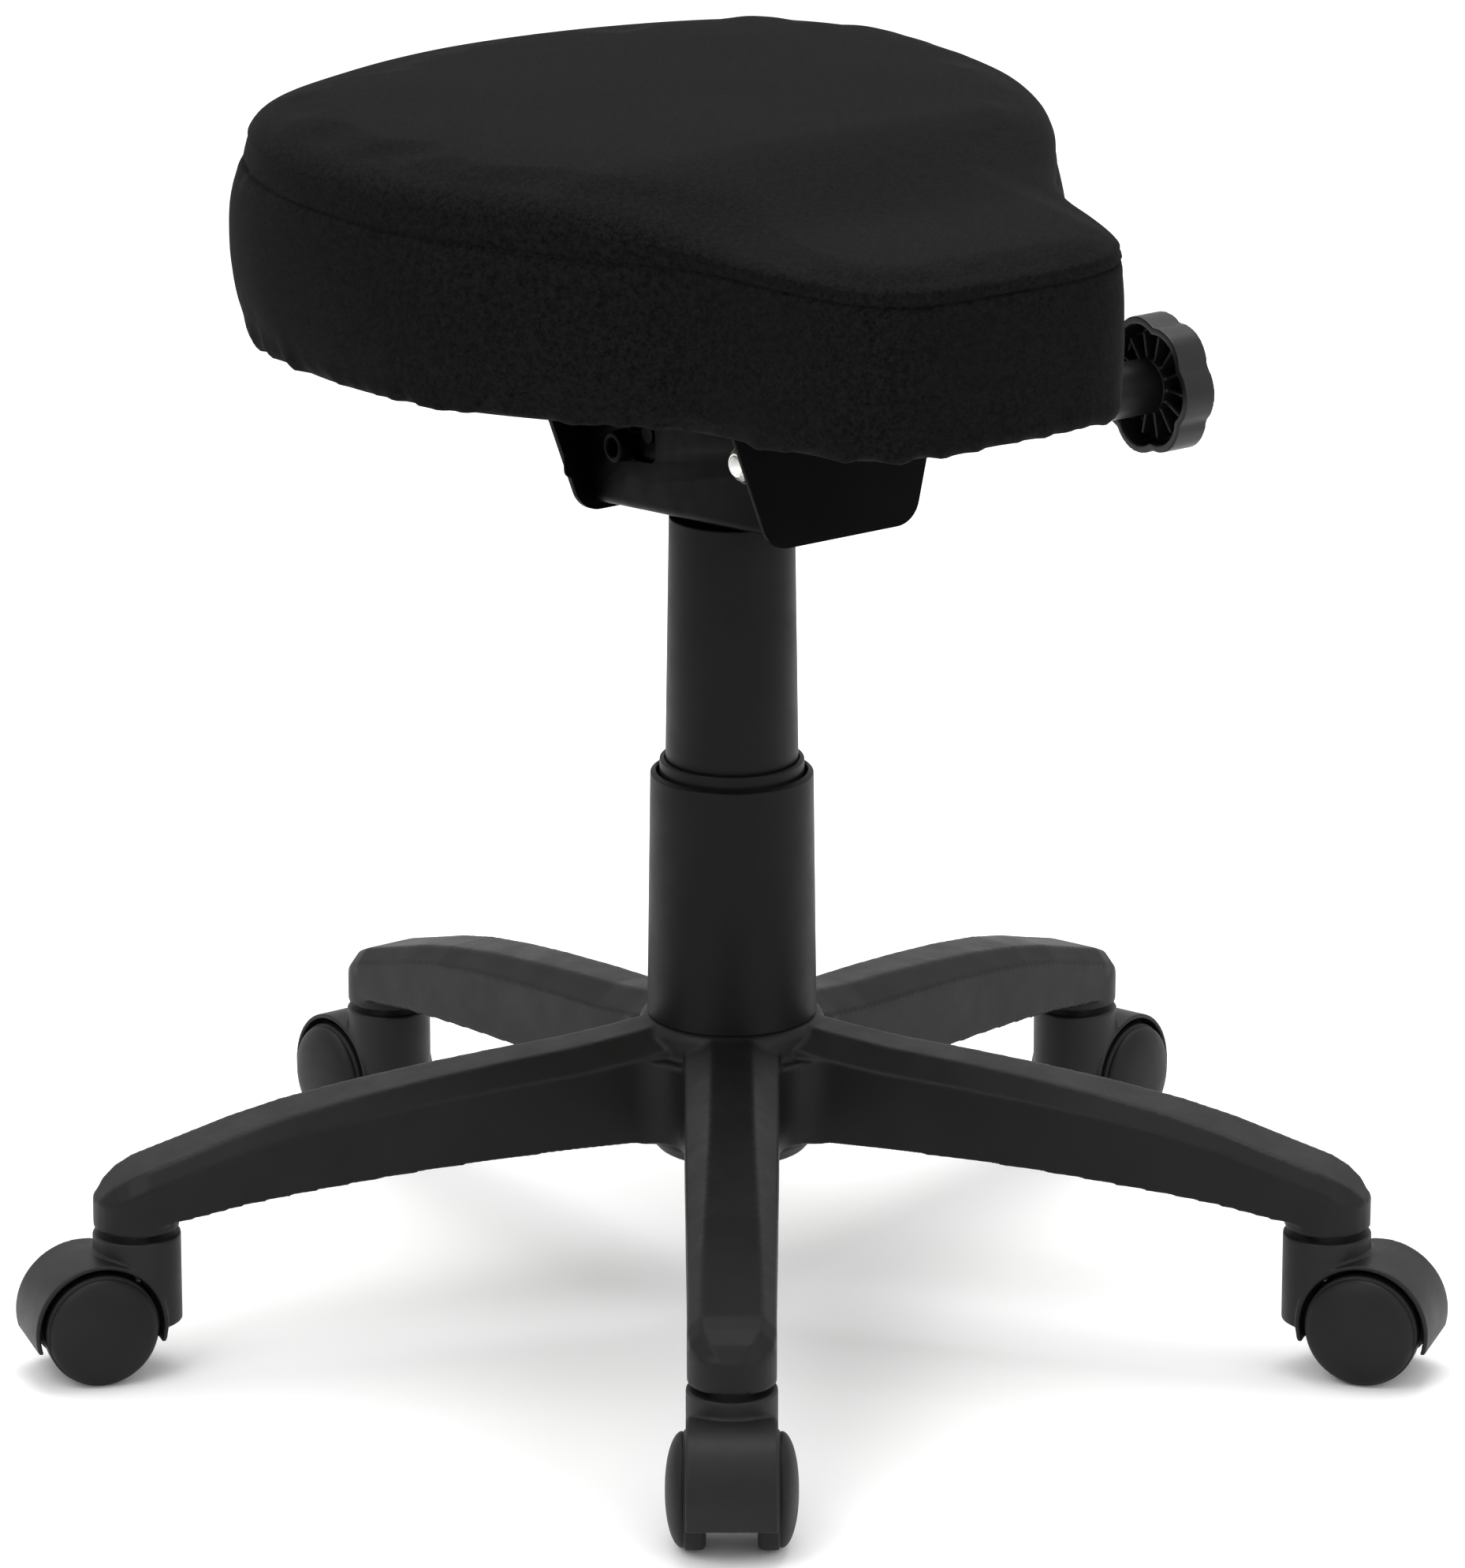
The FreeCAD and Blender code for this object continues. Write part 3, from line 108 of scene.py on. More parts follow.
def math_node(nt, op, a, b=None):
    n = nt.nodes.new("ShaderNodeMath")
    n.operation = op
    for i, v in enumerate((a, b)):
        if v is None:
            continue
        if isinstance(v, (int, float)):
            n.inputs[i].default_value = v
        else:
            nt.links.new(v, n.inputs[i])
    return n.outputs[0]


def bump(nt, bsdf, height, distance, strength=1.0, after=None):
    n = nt.nodes.new("ShaderNodeBump")
    n.inputs["Strength"].default_value = strength
    n.inputs["Distance"].default_value = distance
    nt.links.new(height, n.inputs["Height"])
    if after is not None:
        nt.links.new(after, n.inputs["Normal"])
    nt.links.new(n.outputs["Normal"], bsdf.inputs["Normal"])
    return n.outputs["Normal"]


def moulded(name, dark, light, rough=(0.42, 0.56), grain=1500.0, depth=0.00003, spec=0.5):
    """Moulded plastic: fine spark-eroded grain, slow colour drift, slightly polished high spots."""
    m, nt, b, co = material(name)
    drift = noise_tex(nt, co, 26.0, 3.0)
    nt.links.new(ramp(nt, drift, [(0.3, dark), (0.7, light)]), b.inputs["Base Color"])
    speck = noise_tex(nt, co, grain, 2.0, 0.6)
    worn = noise_tex(nt, co, 60.0, 4.0, 0.6)
    mix = math_node(nt, "ADD", math_node(nt, "MULTIPLY", speck, 0.35), math_node(nt, "MULTIPLY", worn, 0.65))
    nt.links.new(map_range(nt, mix, 0.3, 0.7, rough[0], rough[1]), b.inputs["Roughness"])
    b.inputs["Specular IOR Level"].default_value = spec
    first = bump(nt, b, speck, depth, 0.8)
    bump(nt, b, worn, 0.00008, 0.25, first)
    return m


def painted(name, dark, light, rough=(0.28, 0.4), spec=0.3):
    """Powder coat: orange peel, sparse fine dust."""
    m, nt, b, co = material(name)
    drift = noise_tex(nt, co, 35.0, 2.0)
    nt.links.new(ramp(nt, drift, [(0.35, dark), (0.7, light)]), b.inputs["Base Color"])
    peel = noise_tex(nt, co, 620.0, 1.5, 0.4)
    fine = noise_tex(nt, co, 2400.0, 1.0)
    nt.links.new(map_range(nt, noise_tex(nt, co, 90.0, 4.0), 0.3, 0.7, rough[0], rough[1]), b.inputs["Roughness"])
    first = bump(nt, b, peel, 0.00006, 0.6)
    bump(nt, b, fine, 0.00001, 0.5, first)
    b.inputs["Specular IOR Level"].default_value = spec
    return m


def metal(name, a, c, rough=(0.22, 0.38), stretch=(1, 1, 30), scale=160.0):
    m, nt, b, co = material(name)
    b.inputs["Metallic"].default_value = 1.0
    lines = noise_tex(nt, co, scale, 3.0, 0.6, stretch)
    nt.links.new(ramp(nt, lines, [(0.3, a), (0.7, c)]), b.inputs["Base Color"])
    nt.links.new(map_range(nt, lines, 0.3, 0.7, rough[0], rough[1]), b.inputs["Roughness"])
    bump(nt, b, lines, 0.00002, 0.4)
    return m


def plain_noise(name, a, c, scale, rough, depth, stretch=None):
    m, nt, b, co = material(name)
    n = noise_tex(nt, co, scale, 4.0, 0.6, stretch)
    nt.links.new(ramp(nt, n, [(0.3, a), (0.7, c)]), b.inputs["Base Color"])
    nt.links.new(map_range(nt, n, 0.3, 0.7, rough[0], rough[1]), b.inputs["Roughness"])
    bump(nt, b, n, depth, 0.6)
    return m


def fabric(name, dark, light, pitch=0.00085):
    """Fine woven upholstery cloth. The weave is laid on the three planes and mixed by the way the surface faces. Its
    colour carries painted shade in the hollows of the weave.
    """
    m, nt, b, co = material(name)
    wobble = add(nt, "ShaderNodeTexNoise", Scale=220.0, Detail=2.0)
    nt.links.new(co, wobble.inputs["Vector"])
    mix = nt.nodes.new("ShaderNodeMix")
    mix.data_type = "VECTOR"
    off = nt.nodes.new("ShaderNodeVectorMath")
    off.operation = "MULTIPLY_ADD"
    nt.links.new(wobble.outputs["Color"], off.inputs[0])
    off.inputs[1].default_value = (0.0009, 0.0009, 0.0009)
    nt.links.new(co, off.inputs[2])
    sep = nt.nodes.new("ShaderNodeSeparateXYZ")
    nt.links.new(off.outputs[0], sep.inputs[0])
    k = 2 * math.pi / pitch
    waves = [math_node(nt, "SINE", math_node(nt, "MULTIPLY", sep.outputs[i], k)) for i in range(3)]
    geo = nt.nodes.new("ShaderNodeNewGeometry")
    tr = nt.nodes.new("ShaderNodeVectorTransform")
    tr.vector_type = "NORMAL"
    tr.convert_from = "WORLD"
    tr.convert_to = "OBJECT"
    nt.links.new(geo.outputs["True Normal"], tr.inputs[0])
    ns = nt.nodes.new("ShaderNodeSeparateXYZ")
    nt.links.new(tr.outputs[0], ns.inputs[0])
    total = None
    for i, (p, q) in enumerate(((1, 2), (0, 2), (0, 1))):
        w = math_node(nt, "POWER", math_node(nt, "ABSOLUTE", ns.outputs[i]), 3.0)
        cell = math_node(nt, "MULTIPLY", waves[p], waves[q])
        part = math_node(nt, "MULTIPLY", cell, w)
        total = part if total is None else math_node(nt, "ADD", total, part)
    weave = map_range(nt, total, -1.0, 1.0, 0.0, 1.0)
    crepe = noise_tex(nt, co, 640.0, 3.0, 0.75)
    slub = noise_tex(nt, co, 330.0, 3.0, 0.6)
    height = math_node(nt, "ADD", math_node(nt, "MULTIPLY", weave, 0.45), math_node(nt, "MULTIPLY", crepe, 0.55))
    # painted shade: the colour follows the weave and crepe height, so the hollows between threads are darker; the slub
    # share is real yarn tone
    weave_shade_and_slub = math_node(nt, "ADD", math_node(nt, "MULTIPLY", height, 0.7), math_node(nt, "MULTIPLY", slub, 0.3))
    nt.links.new(ramp(nt, weave_shade_and_slub, [(0.40, dark), (0.58, light)]), b.inputs["Base Color"])
    nt.links.new(map_range(nt, slub, 0.3, 0.7, 0.82, 0.95), b.inputs["Roughness"])
    b.inputs["Specular IOR Level"].default_value = 0.04
    b.inputs["Sheen Weight"].default_value = 0.02
    b.inputs["Sheen Roughness"].default_value = 0.45
    b.inputs["Sheen Tint"].default_value = (0.5, 0.5, 0.52, 1.0)
    first = bump(nt, b, height, 0.00028, 0.9)
    bump(nt, b, noise_tex(nt, co, 30.0, 2.0), 0.0009, 0.35, first)
    nt.nodes.remove(mix)
    return m


MAT = {
    "moulded_nylon": moulded("moulded_nylon", (0.0034, 0.0035, 0.0036), (0.0054, 0.0055, 0.0056), (0.42, 0.56), spec=0.18),
    "castor_nylon": moulded("castor_nylon", (0.0048, 0.0049, 0.0050), (0.0072, 0.0074, 0.0075), (0.42, 0.56), spec=0.22),
    "castor_wheel": moulded("castor_wheel", (0.0049, 0.0050, 0.0051), (0.0077, 0.0078, 0.0080), (0.46, 0.62), 1800.0, spec=0.18),
    "cover_plastic": moulded("cover_plastic", (0.0022, 0.0022, 0.0023), (0.0034, 0.0034, 0.0036), (0.42, 0.54), 1300.0, spec=0.12),
    "knob_plastic": moulded("knob_plastic", (0.0048, 0.0049, 0.0050), (0.0076, 0.0078, 0.0080), (0.36, 0.50), 1200.0, spec=0.30),
    "black_steel": painted("black_steel", (0.0004, 0.0004, 0.0005), (0.0009, 0.0009, 0.0010), (0.34, 0.48), 0.03),
    "black_tube": painted("black_tube", (0.0026, 0.0026, 0.0028), (0.0046, 0.0046, 0.0049), (0.30, 0.42), 0.24),
    "zinc_steel": metal("zinc_steel", (0.62, 0.62, 0.60), (0.78, 0.78, 0.76)),
    "chromed_steel": metal("chromed_steel", (0.70, 0.70, 0.71), (0.78, 0.78, 0.79), (0.07, 0.14)),
    "bearing_steel": metal("bearing_steel", (0.42, 0.41, 0.40), (0.56, 0.55, 0.53), (0.2, 0.35)),
    "acetal": plain_noise("acetal", (0.55, 0.54, 0.50), (0.66, 0.65, 0.61), 70.0, (0.35, 0.5), 0.00003),
    "plywood": plain_noise("plywood", (0.40, 0.26, 0.14), (0.62, 0.46, 0.29), 34.0, (0.55, 0.75), 0.00012, (1.0, 9.0, 60.0)),
    "seat_foam": plain_noise("seat_foam", (0.62, 0.55, 0.36), (0.74, 0.68, 0.50), 700.0, (0.85, 0.95), 0.0004),
    "seat_fabric": fabric("seat_fabric", (0.0004, 0.0004, 0.0005), (0.0072, 0.0072, 0.0075)),
}

SLOT_OF = {s["node"]: s["material_slot"] for s in frame["record"]["subparts"]}
for node, obj in frame["nodes"].items():
    obj.data.materials.clear()
    obj.data.materials.append(MAT[SLOT_OF[node]])
    for p in obj.data.polygons:
        p.material_index = 0

BODY_OF = {n: b for b, ns in frame["record"]["behaviour"]["bodies"].items() for n in ns}

# ------------------------------------------------------------------ mesh helpers


def link(obj):
    scene.collection.objects.link(obj)
    return obj


def piece(name, mesh, node, replaced=None, smooth=True, sharp=None):
    """A visual piece that stands for a CAD node and takes its body and material slot."""
    obj = link(bpy.data.objects.new(name, mesh))
    mesh.materials.clear()
    mesh.materials.append(MAT[SLOT_OF[node]])
    for p in mesh.polygons:
        p.use_smooth = smooth
        p.material_index = 0
    if sharp is not None:
        mark_sharp(mesh, sharp)
    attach(obj, BODY_OF[node])
    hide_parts(*(replaced or [node]))
    return obj


def mark_sharp(mesh, angle):
    bm = bmesh.new()
    bm.from_mesh(mesh)
    for e in bm.edges:
        e.smooth = not (len(e.link_faces) == 2 and e.calc_face_angle(0.0) > math.radians(angle))
    bm.to_mesh(mesh)
    bm.free()


def apply_modifiers(obj):
    dg = bpy.context.evaluated_depsgraph_get()
    dg.update()
    mesh = bpy.data.meshes.new_from_object(obj.evaluated_get(dg), depsgraph=dg)
    old = obj.data
    obj.modifiers.clear()
    obj.data = mesh
    if old.users == 0:
        bpy.data.meshes.remove(old)
    return obj


def round_profile(points, radii, steps=5):
    """A (r, z) outline in mm with its corners rounded by the given radii."""
    out = []
    n = len(points)
    for i, (p, r) in enumerate(zip(points, radii)):
        p = Vector((p[0], p[1], 0))
        if r <= 0 or i in (0, n - 1):
            out.append((p.x, p.y))
            continue
        a, b = Vector((*points[i - 1], 0)) - p, Vector((*points[i + 1], 0)) - p
        ang = a.angle(b)
        cutb = min(r / math.tan(ang / 2), a.length * 0.49, b.length * 0.49)
        rr = cutb * math.tan(ang / 2)
        a.normalize(), b.normalize()
        centre = p + (a + b).normalized() * (rr / math.sin(ang / 2))
        s, e = p + a * cutb - centre, p + b * cutb - centre
        for k in range(steps + 1):
            t = k / steps
            v = s.slerp(e, t) if s.angle(e) > 1e-4 else s.lerp(e, t)
            out.append((centre.x + v.x, centre.y + v.y))
    return out


def lathe_mesh(name, profile, segs=96, matrix=None, closed=True):
    """Turned mesh about local Z from a closed (r, z) outline in mm."""
    bm = bmesh.new()
    rings = []
    for r, z in profile:
        if r < 1e-6:
            rings.append([bm.verts.new((0, 0, z * MM))])
        else:
            rings.append([bm.verts.new((r * MM * math.cos(2 * math.pi * i / segs), r * MM * math.sin(2 * math.pi * i / segs), z * MM))
                          for i in range(segs)])
    pairs = list(zip(rings, rings[1:]))
    if closed and not (len(rings[0]) == 1 and len(rings[-1]) == 1):
        pairs.append((rings[-1], rings[0]))
    for a, b in pairs:
        for i in range(segs):
            j = (i + 1) % segs
            if len(a) == 1 and len(b) == 1:
                break
            if len(a) == 1:
                bm.faces.new((a[0], b[i], b[j]))
            elif len(b) == 1:
                bm.faces.new((a[i], b[0], a[j]))
            else:
                bm.faces.new((a[i], b[i], b[j], a[j]))
    bmesh.ops.remove_doubles(bm, verts=bm.verts, dist=1e-7)
    bmesh.ops.recalc_face_normals(bm, faces=bm.faces)
    if matrix is not None:
        bm.transform(matrix)
    mesh = bpy.data.meshes.new(name)
    bm.to_mesh(mesh)
    bm.free()
    return mesh


def soft_copy(name, node, voxel, rounds, factor=0.5, keep=1.0):
    """A copy of a CAD node with its edges moulded round: fine remesh, then smoothing."""
    src = frame["nodes"][node]
    tmp = link(bpy.data.objects.new(name + "_tmp", src.data.copy()))
    r = tmp.modifiers.new("r", "REMESH")
    r.mode = "VOXEL"
    r.voxel_size = voxel
    if rounds:
        s = tmp.modifiers.new("s", "SMOOTH")
        s.factor = factor
        s.iterations = rounds
    if keep < 1.0:
        d = tmp.modifiers.new("d", "DECIMATE")
        d.ratio = keep
    apply_modifiers(tmp)
    mesh = tmp.data
    bpy.data.objects.remove(tmp)
    mesh.name = name
    return piece(name, mesh, node)


def bevel_copy(name, node, width, segments=3, angle=32, nodes=None):
    """A copy of a CAD node with a small rolled edge on every corner."""
    src = frame["nodes"][node]
    bm = bmesh.new()
    bm.from_mesh(src.data)
    bmesh.ops.remove_doubles(bm, verts=bm.verts, dist=2e-6)
    bmesh.ops.dissolve_limit(bm, angle_limit=math.radians(1.5), verts=bm.verts, edges=bm.edges)
    mesh = bpy.data.meshes.new(name)
    bm.to_mesh(mesh)
    bm.free()
    tmp = link(bpy.data.objects.new(name + "_tmp", mesh))
    b = tmp.modifiers.new("b", "BEVEL")
    b.width = width
    b.segments = segments
    b.limit_method = "ANGLE"
    b.angle_limit = math.radians(angle)
    b.use_clamp_overlap = True
    apply_modifiers(tmp)
    mesh = tmp.data
    bpy.data.objects.remove(tmp)
    mesh.name = name
    return piece(name, mesh, node, sharp=50)


# ------------------------------------------------------------------ camera, floor, light
cam = bpy.data.cameras.new("camera")
cam.lens = 213.30
cam.sensor_width = 36.0
cam.clip_start, cam.clip_end = 0.1, 60.0
cam_obj = link(bpy.data.objects.new("camera", cam))
pitch = math.radians(17.463)
heading = Vector((math.sin(math.radians(36)), math.cos(math.radians(36)), 0))
cam_obj.location = (-2.3074, -3.1763, 1.4770)
look = heading * math.cos(pitch) + Vector((0, 0, -math.sin(pitch)))
cam_obj.rotation_mode = "QUATERNION"
cam_obj.rotation_quaternion = look.to_track_quat("-Z", "Y")
scene.camera = cam_obj

bm = bmesh.new()
bmesh.ops.create_grid(bm, x_segments=8, y_segments=8, size=14.0)
floor_mesh = bpy.data.meshes.new("floor")
bm.to_mesh(floor_mesh)
bm.free()
floor = link(bpy.data.objects.new("floor", floor_mesh))
floor.location = (0, 0, -0.0004)
fm, fnt, fb, fco = material("studio_floor")
fnt.links.new(ramp(fnt, noise_tex(fnt, fco, 1.2, 2.0), [(0.3, 0.86), (0.7, 0.88)]), fb.inputs["Base Color"])
fb.inputs["Roughness"].default_value = 0.9
fb.inputs["Specular IOR Level"].default_value = 0.1
floor_mesh.materials.append(fm)

world = bpy.data.worlds.new("studio")
scene.world = world
world.use_nodes = True
bg = world.node_tree.nodes["Background"]
bg.inputs["Color"].default_value = (1.0, 1.0, 1.0, 1.0)
bg.inputs["Strength"].default_value = 1.0


def area(name, loc, target, size, power):
    l = bpy.data.lights.new(name, "AREA")
    l.shape = "RECTANGLE"
    l.size, l.size_y = size
    l.energy = power
    o = link(bpy.data.objects.new(name, l))
    o.location = loc
    o.rotation_mode = "QUATERNION"
    o.rotation_quaternion = (Vector(target) - Vector(loc)).to_track_quat("-Z", "Y")
    return o


def in_view(right, back, up):
    """A place given by the camera's heading: to its right, towards it, and up, in metres."""
    r = Vector((heading.y, -heading.x, 0))
    return r * right - heading * back + Vector((0, 0, up))


area("key", in_view(-1.6, 1.7, 2.6), (0, 0, 0.25), (1.6, 1.6), 30.0)
area("fill", in_view(2.0, 1.8, 1.5), (0, 0, 0.25), (1.6, 1.8), 14.0)
area("overhead", in_view(0.1, -0.6, 2.9), (0, 0, 0.3), (2.2, 2.2), 70.0)

# ------------------------------------------------------------------ base and column
soft_copy("base_star", "five_star_base", 0.0012, 3, 0.5, keep=0.6)

piece("lower_cover_shell", lathe_mesh("lower_cover_shell", round_profile(
    [(34.7, 136.6), (37.3, 136.6), (36.55, 248.9), (33.9, 248.9), (33.9, 245.0)],
    [0, 0.5, 1.3, 0.5, 0], 6), 128), "lower_cover", sharp=60)
piece("middle_cover_shell", lathe_mesh("middle_cover_shell", round_profile(
    [(30.1, 156.2), (33.2, 156.2), (33.2, 246.0), (32.1, 249.0), (32.1, 254.9), (30.1, 254.9)],
    [0, 0.4, 2.0, 1.0, 1.2, 0.3], 5), 128), "middle_cover", sharp=60)
piece("upper_cover_shell", lathe_mesh("upper_cover_shell", round_profile(
    [(26.2, 241.1), (29.2, 241.1), (28.0, 366.3), (14.4, 366.3), (14.4, 363.5), (26.2, 363.5)],
    [0, 0.5, 1.2, 0.2, 0.2, 0], 5), 128), "upper_cover", sharp=60)

# ------------------------------------------------------------------ castors
STEM_R, TRAIL, AXLE_Z = 0.2755, 0.021, 0.025


def wheel_profile():
    pts = [(3.05, 11.55), (9.4, 11.55), (9.4, 17.0), (20.9, 17.0), (20.9, 11.55), (23.8, 11.55), (24.95, 12.7), (24.95, 19.2)]
    rad = [0, 0.4, 0.6, 0.6, 0.3, 0.5, 0.6, 0.5]
    prof = round_profile(pts + [(24.7, 20.1)], rad + [0], 4)
    # shallow parting groove, then the domed face
    prof += [(24.35, 20.25), (24.25, 20.55), (24.45, 20.85)]
    for i in range(1, 19):
        a = math.radians(90.0 * i / 18)
        rr = 24.5 * math.cos(a) ** 0.92
        zz = 20.9 + 7.3 * math.sin(a) ** 1.05
        prof.append((max(rr, 0.0), zz))
    prof[-1] = (0.0, 28.2)
    prof += [(0.0, 22.3), (3.05, 22.3)]
    return prof


WHEEL = wheel_profile()
hood_src = None
for k in range(1, 6):
    ang = math.radians(90 + 72 * (k - 1))
    turn = Matrix.Rotation(ang, 4, "Z")
    if k == 1:
        hood = soft_copy("castor1_hood_shell", "castor1_hood", 0.0007, 5, 0.5)
        hood_src = hood.data.copy()
        hood_src.transform(Matrix.Rotation(-ang, 4, "Z"))
    else:
        mesh = hood_src.copy()
        mesh.name = "castor%d_hood_shell" % k
        mesh.transform(turn)
        piece(mesh.name, mesh, "castor%d_hood" % k)
    for side, sign in (("a", -90), ("b", 90)):
        mat = turn @ Matrix.Translation((STEM_R + TRAIL, 0, AXLE_Z)) @ Matrix.Rotation(math.radians(sign), 4, "X")
        nm = "castor%d_wheel_%s" % (k, side)
        piece(nm + "_tyre", lathe_mesh(nm + "_tyre", WHEEL, 96, mat), nm, sharp=60)

# ------------------------------------------------------------------ mechanism
for node, w in (("mech_channel", 0.0005), ("front_end_plate", 0.0006), ("rear_end_plate", 0.0006), ("seat_plate", 0.0005),
                ("pivot_ears", 0.0004), ("lever_grip", 0.0004)):
    bevel_copy(node + "_formed", node, w)

pivot = Matrix.Translation((0, -0.057, 0.4075)) @ Matrix.Rotation(math.radians(90), 4, "Y")
piece("rod_end_cap_head", lathe_mesh("rod_end_cap_head", round_profile(
    [(0, -42.5), (4.2, -42.1), (7.0, -40.4), (8.5, -37.4), (8.5, -34.4), (5.02, -34.4), (5.02, -39.6), (0, -39.6)],
    [0, 3, 3, 2, 0.4, 0, 0, 0], 5), 64, pivot), "rod_end_cap", sharp=50)
piece("knob_sleeve_tube", lathe_mesh("knob_sleeve_tube", round_profile(
    [(5.02, 34.4), (12.0, 34.4), (12.0, 186.0), (5.02, 186.0)], [0, 0.8, 0.6, 0], 5), 96, pivot), "knob_sleeve", sharp=50)
lever_at = Matrix.Translation((0, 0.034, 0.3955)) @ Matrix.Rotation(math.radians(90), 4, "Y")
piece("lever_bush_ring", lathe_mesh("lever_bush_ring", round_profile(
    [(4.08, -33.0), (4.08, -27.0), (5.28, -27.0), (5.28, -34.02), (6.5, -34.02), (6.5, -40.0), (4.7, -40.0), (4.7, -33.0)],
    [0, 0.2, 0, 0, 0.2, 0.6, 0.5, 0], 4), 64, lever_at), "lever_bush", sharp=50)
soft_copy("tilt_knob_grip", "tilt_knob", 0.0006, 2, 0.5)

# ------------------------------------------------------------------ seat upholstery
SEAT = [(0, -205.5), (28, -204.5), (52, -200), (68, -190), (76, -178), (83, -160), (89, -140), (94.5, -120), (103.5, -100),
        (118.5, -80), (134.5, -60), (148.5, -40), (160.5, -20), (169.5, 0), (176, 20), (180, 42), (181.5, 65), (180.5, 88), (176.5, 110),
        (169, 130), (157, 149), (137, 168), (106, 183), (68, 194), (32, 200), (0, 201.5)]
RING = np.array(SEAT + [(-x, y) for x, y in reversed(SEAT[1:-1])], float)


def periodic_spline(pts, n):
    """Evenly spaced points on the closed smooth curve through pts."""
    m = len(pts)
    d = np.linalg.norm(np.roll(pts, -1, 0) - pts, axis=1)
    A, B = np.zeros((m, m)), np.zeros((m, 2))
    for i in range(m):
        h0, h1 = d[i - 1], d[i]
        A[i, i - 1] += h0
        A[i, i] += 2 * (h0 + h1)
        A[i, (i + 1) % m] += h1
        B[i] = 6 * ((pts[(i + 1) % m] - pts[i]) / h1 - (pts[i] - pts[i - 1]) / h0)
    M = np.linalg.solve(A, B)
    fine = []
    for i in range(m):
        j, h = (i + 1) % m, d[i]
        for t in np.linspace(0, 1, 40, endpoint=False) * h:
            a, b = h - t, t
            fine.append((M[i] * a ** 3 + M[j] * b ** 3) / (6 * h) + (pts[i] / h - M[i] * h / 6) * a + (pts[j] / h - M[j] * h / 6) * b)
    fine = np.array(fine)
    seg = np.linalg.norm(np.roll(fine, -1, 0) - fine, axis=1)
    s = np.concatenate([[0], np.cumsum(seg)])
    want = np.linspace(0, s[-1], n, endpoint=False)
    closed = np.vstack([fine, fine[:1]])
    return np.stack([np.interp(want, s, closed[:, k]) for k in range(2)], 1), s[-1]


N = 400
OUT, PERIM = periodic_spline(RING, N)
SEAM_Z, SLOPE = 516.0, 0.035


def ring_points(scale, height, tilt, outline=OUT, shrink=0.0):
    """The outline scaled about its middle. Above the seam the crown is full over the wide part and low over the nose."""
    p = np.array(outline) - np.array([0, -3.0])
    u = np.clip((p[:, 1] * min(scale, 1.0) + 129.0) / 90.0, 0, 1)
    u = u * u * (3 - 2 * u)
    swell = np.where(scale > 0.996, 0.996 + (scale - 0.996) * (0.35 + 0.65 * u), scale)
    p = p * np.column_stack([swell - shrink / 177.0, np.minimum(swell, scale) - shrink / 202.0]) + np.array([0, -3.0])
    share = (13.0 + 16.0 * u) / 29.0
    over = max(height - SEAM_Z, 0.0)
    return np.column_stack([p, min(height, SEAM_Z) + over * share + tilt * p[:, 1]])


def ring_mesh(name, rings, caps=True):
    """Closed mesh through rings of equal length, in mm, with a middle point at each end."""
    n = len(rings[0])
    verts = np.vstack(rings + [rings[0].mean(0)[None], rings[-1].mean(0)[None]]) * MM
    faces = []
    for r in range(len(rings) - 1):
        a, b = r * n, (r + 1) * n
        for i in range(n):
            j = (i + 1) % n
            faces.append((a + i, a + j, b + j, b + i))
    c0, c1, last = len(rings) * n, len(rings) * n + 1, (len(rings) - 1) * n
    for i in range(n):
        j = (i + 1) % n
        faces.append((c0, j, i))
        faces.append((c1, last + i, last + j))
    mesh = bpy.data.meshes.new(name)
    mesh.from_pydata([tuple(v) for v in verts], [], faces)
    mesh.validate()
    return mesh


# (scale, height above the hem or relative to the seam, share of the slope)
def seat_sections(z_low=441.0):
    s = []
    for sc, z in ((0.972, 0.0), (0.986, 2.6), (0.998, 7.5), (1.007, 14.0), (1.015, 22.0), (1.021, 31.0), (1.025, 41.0)):
        s.append((sc, z_low + z, SLOPE * (z / 41.0) * 0.5))
    for sc, z in ((1.026, -22.0), (1.024, -15.0), (1.017, -9.0), (1.008, -4.5), (1.000, -2.0), (0.996, 0.0)):
        s.append((sc, SEAM_Z + z, SLOPE))
    for sc, z in ((0.998, 3.4), (0.994, 8.6), (0.986, 13.2), (0.973, 17.0), (0.952, 20.2), (0.921, 22.8), (0.873, 24.9), (0.80, 26.6),
                  (0.70, 27.8), (0.58, 28.6), (0.43, 29.0), (0.30, 29.2), (0.15, 29.3)):
        s.append((sc, SEAM_Z + z, SLOPE))
    return s


SECTIONS = seat_sections()


def dense_sections(step):
    """Extra rings between the given ones, on a smooth curve."""
    sec = np.array(SECTIONS)
    r = sec[:, 0] * 177.0
    d = np.concatenate([[0], np.cumsum(np.hypot(np.diff(r), np.diff(sec[:, 1])))])
    n = int(d[-1] / step)
    t = np.linspace(0, d[-1], n + 1)
    out = []
    for c in range(3):
        # Catmull-Rom in one variable
        y = sec[:, c]
        m = np.gradient(y, d)
        i = np.clip(np.searchsorted(d, t, side="right") - 1, 0, len(d) - 2)
        h = d[i + 1] - d[i]
        u = (t - d[i]) / h
        out.append((2 * u ** 3 - 3 * u ** 2 + 1) * y[i] + (u ** 3 - 2 * u ** 2 + u) * h * m[i]
                   + (-2 * u ** 3 + 3 * u ** 2) * y[i + 1] + (u ** 3 - u ** 2) * h * m[i + 1])
    return np.array(out).T


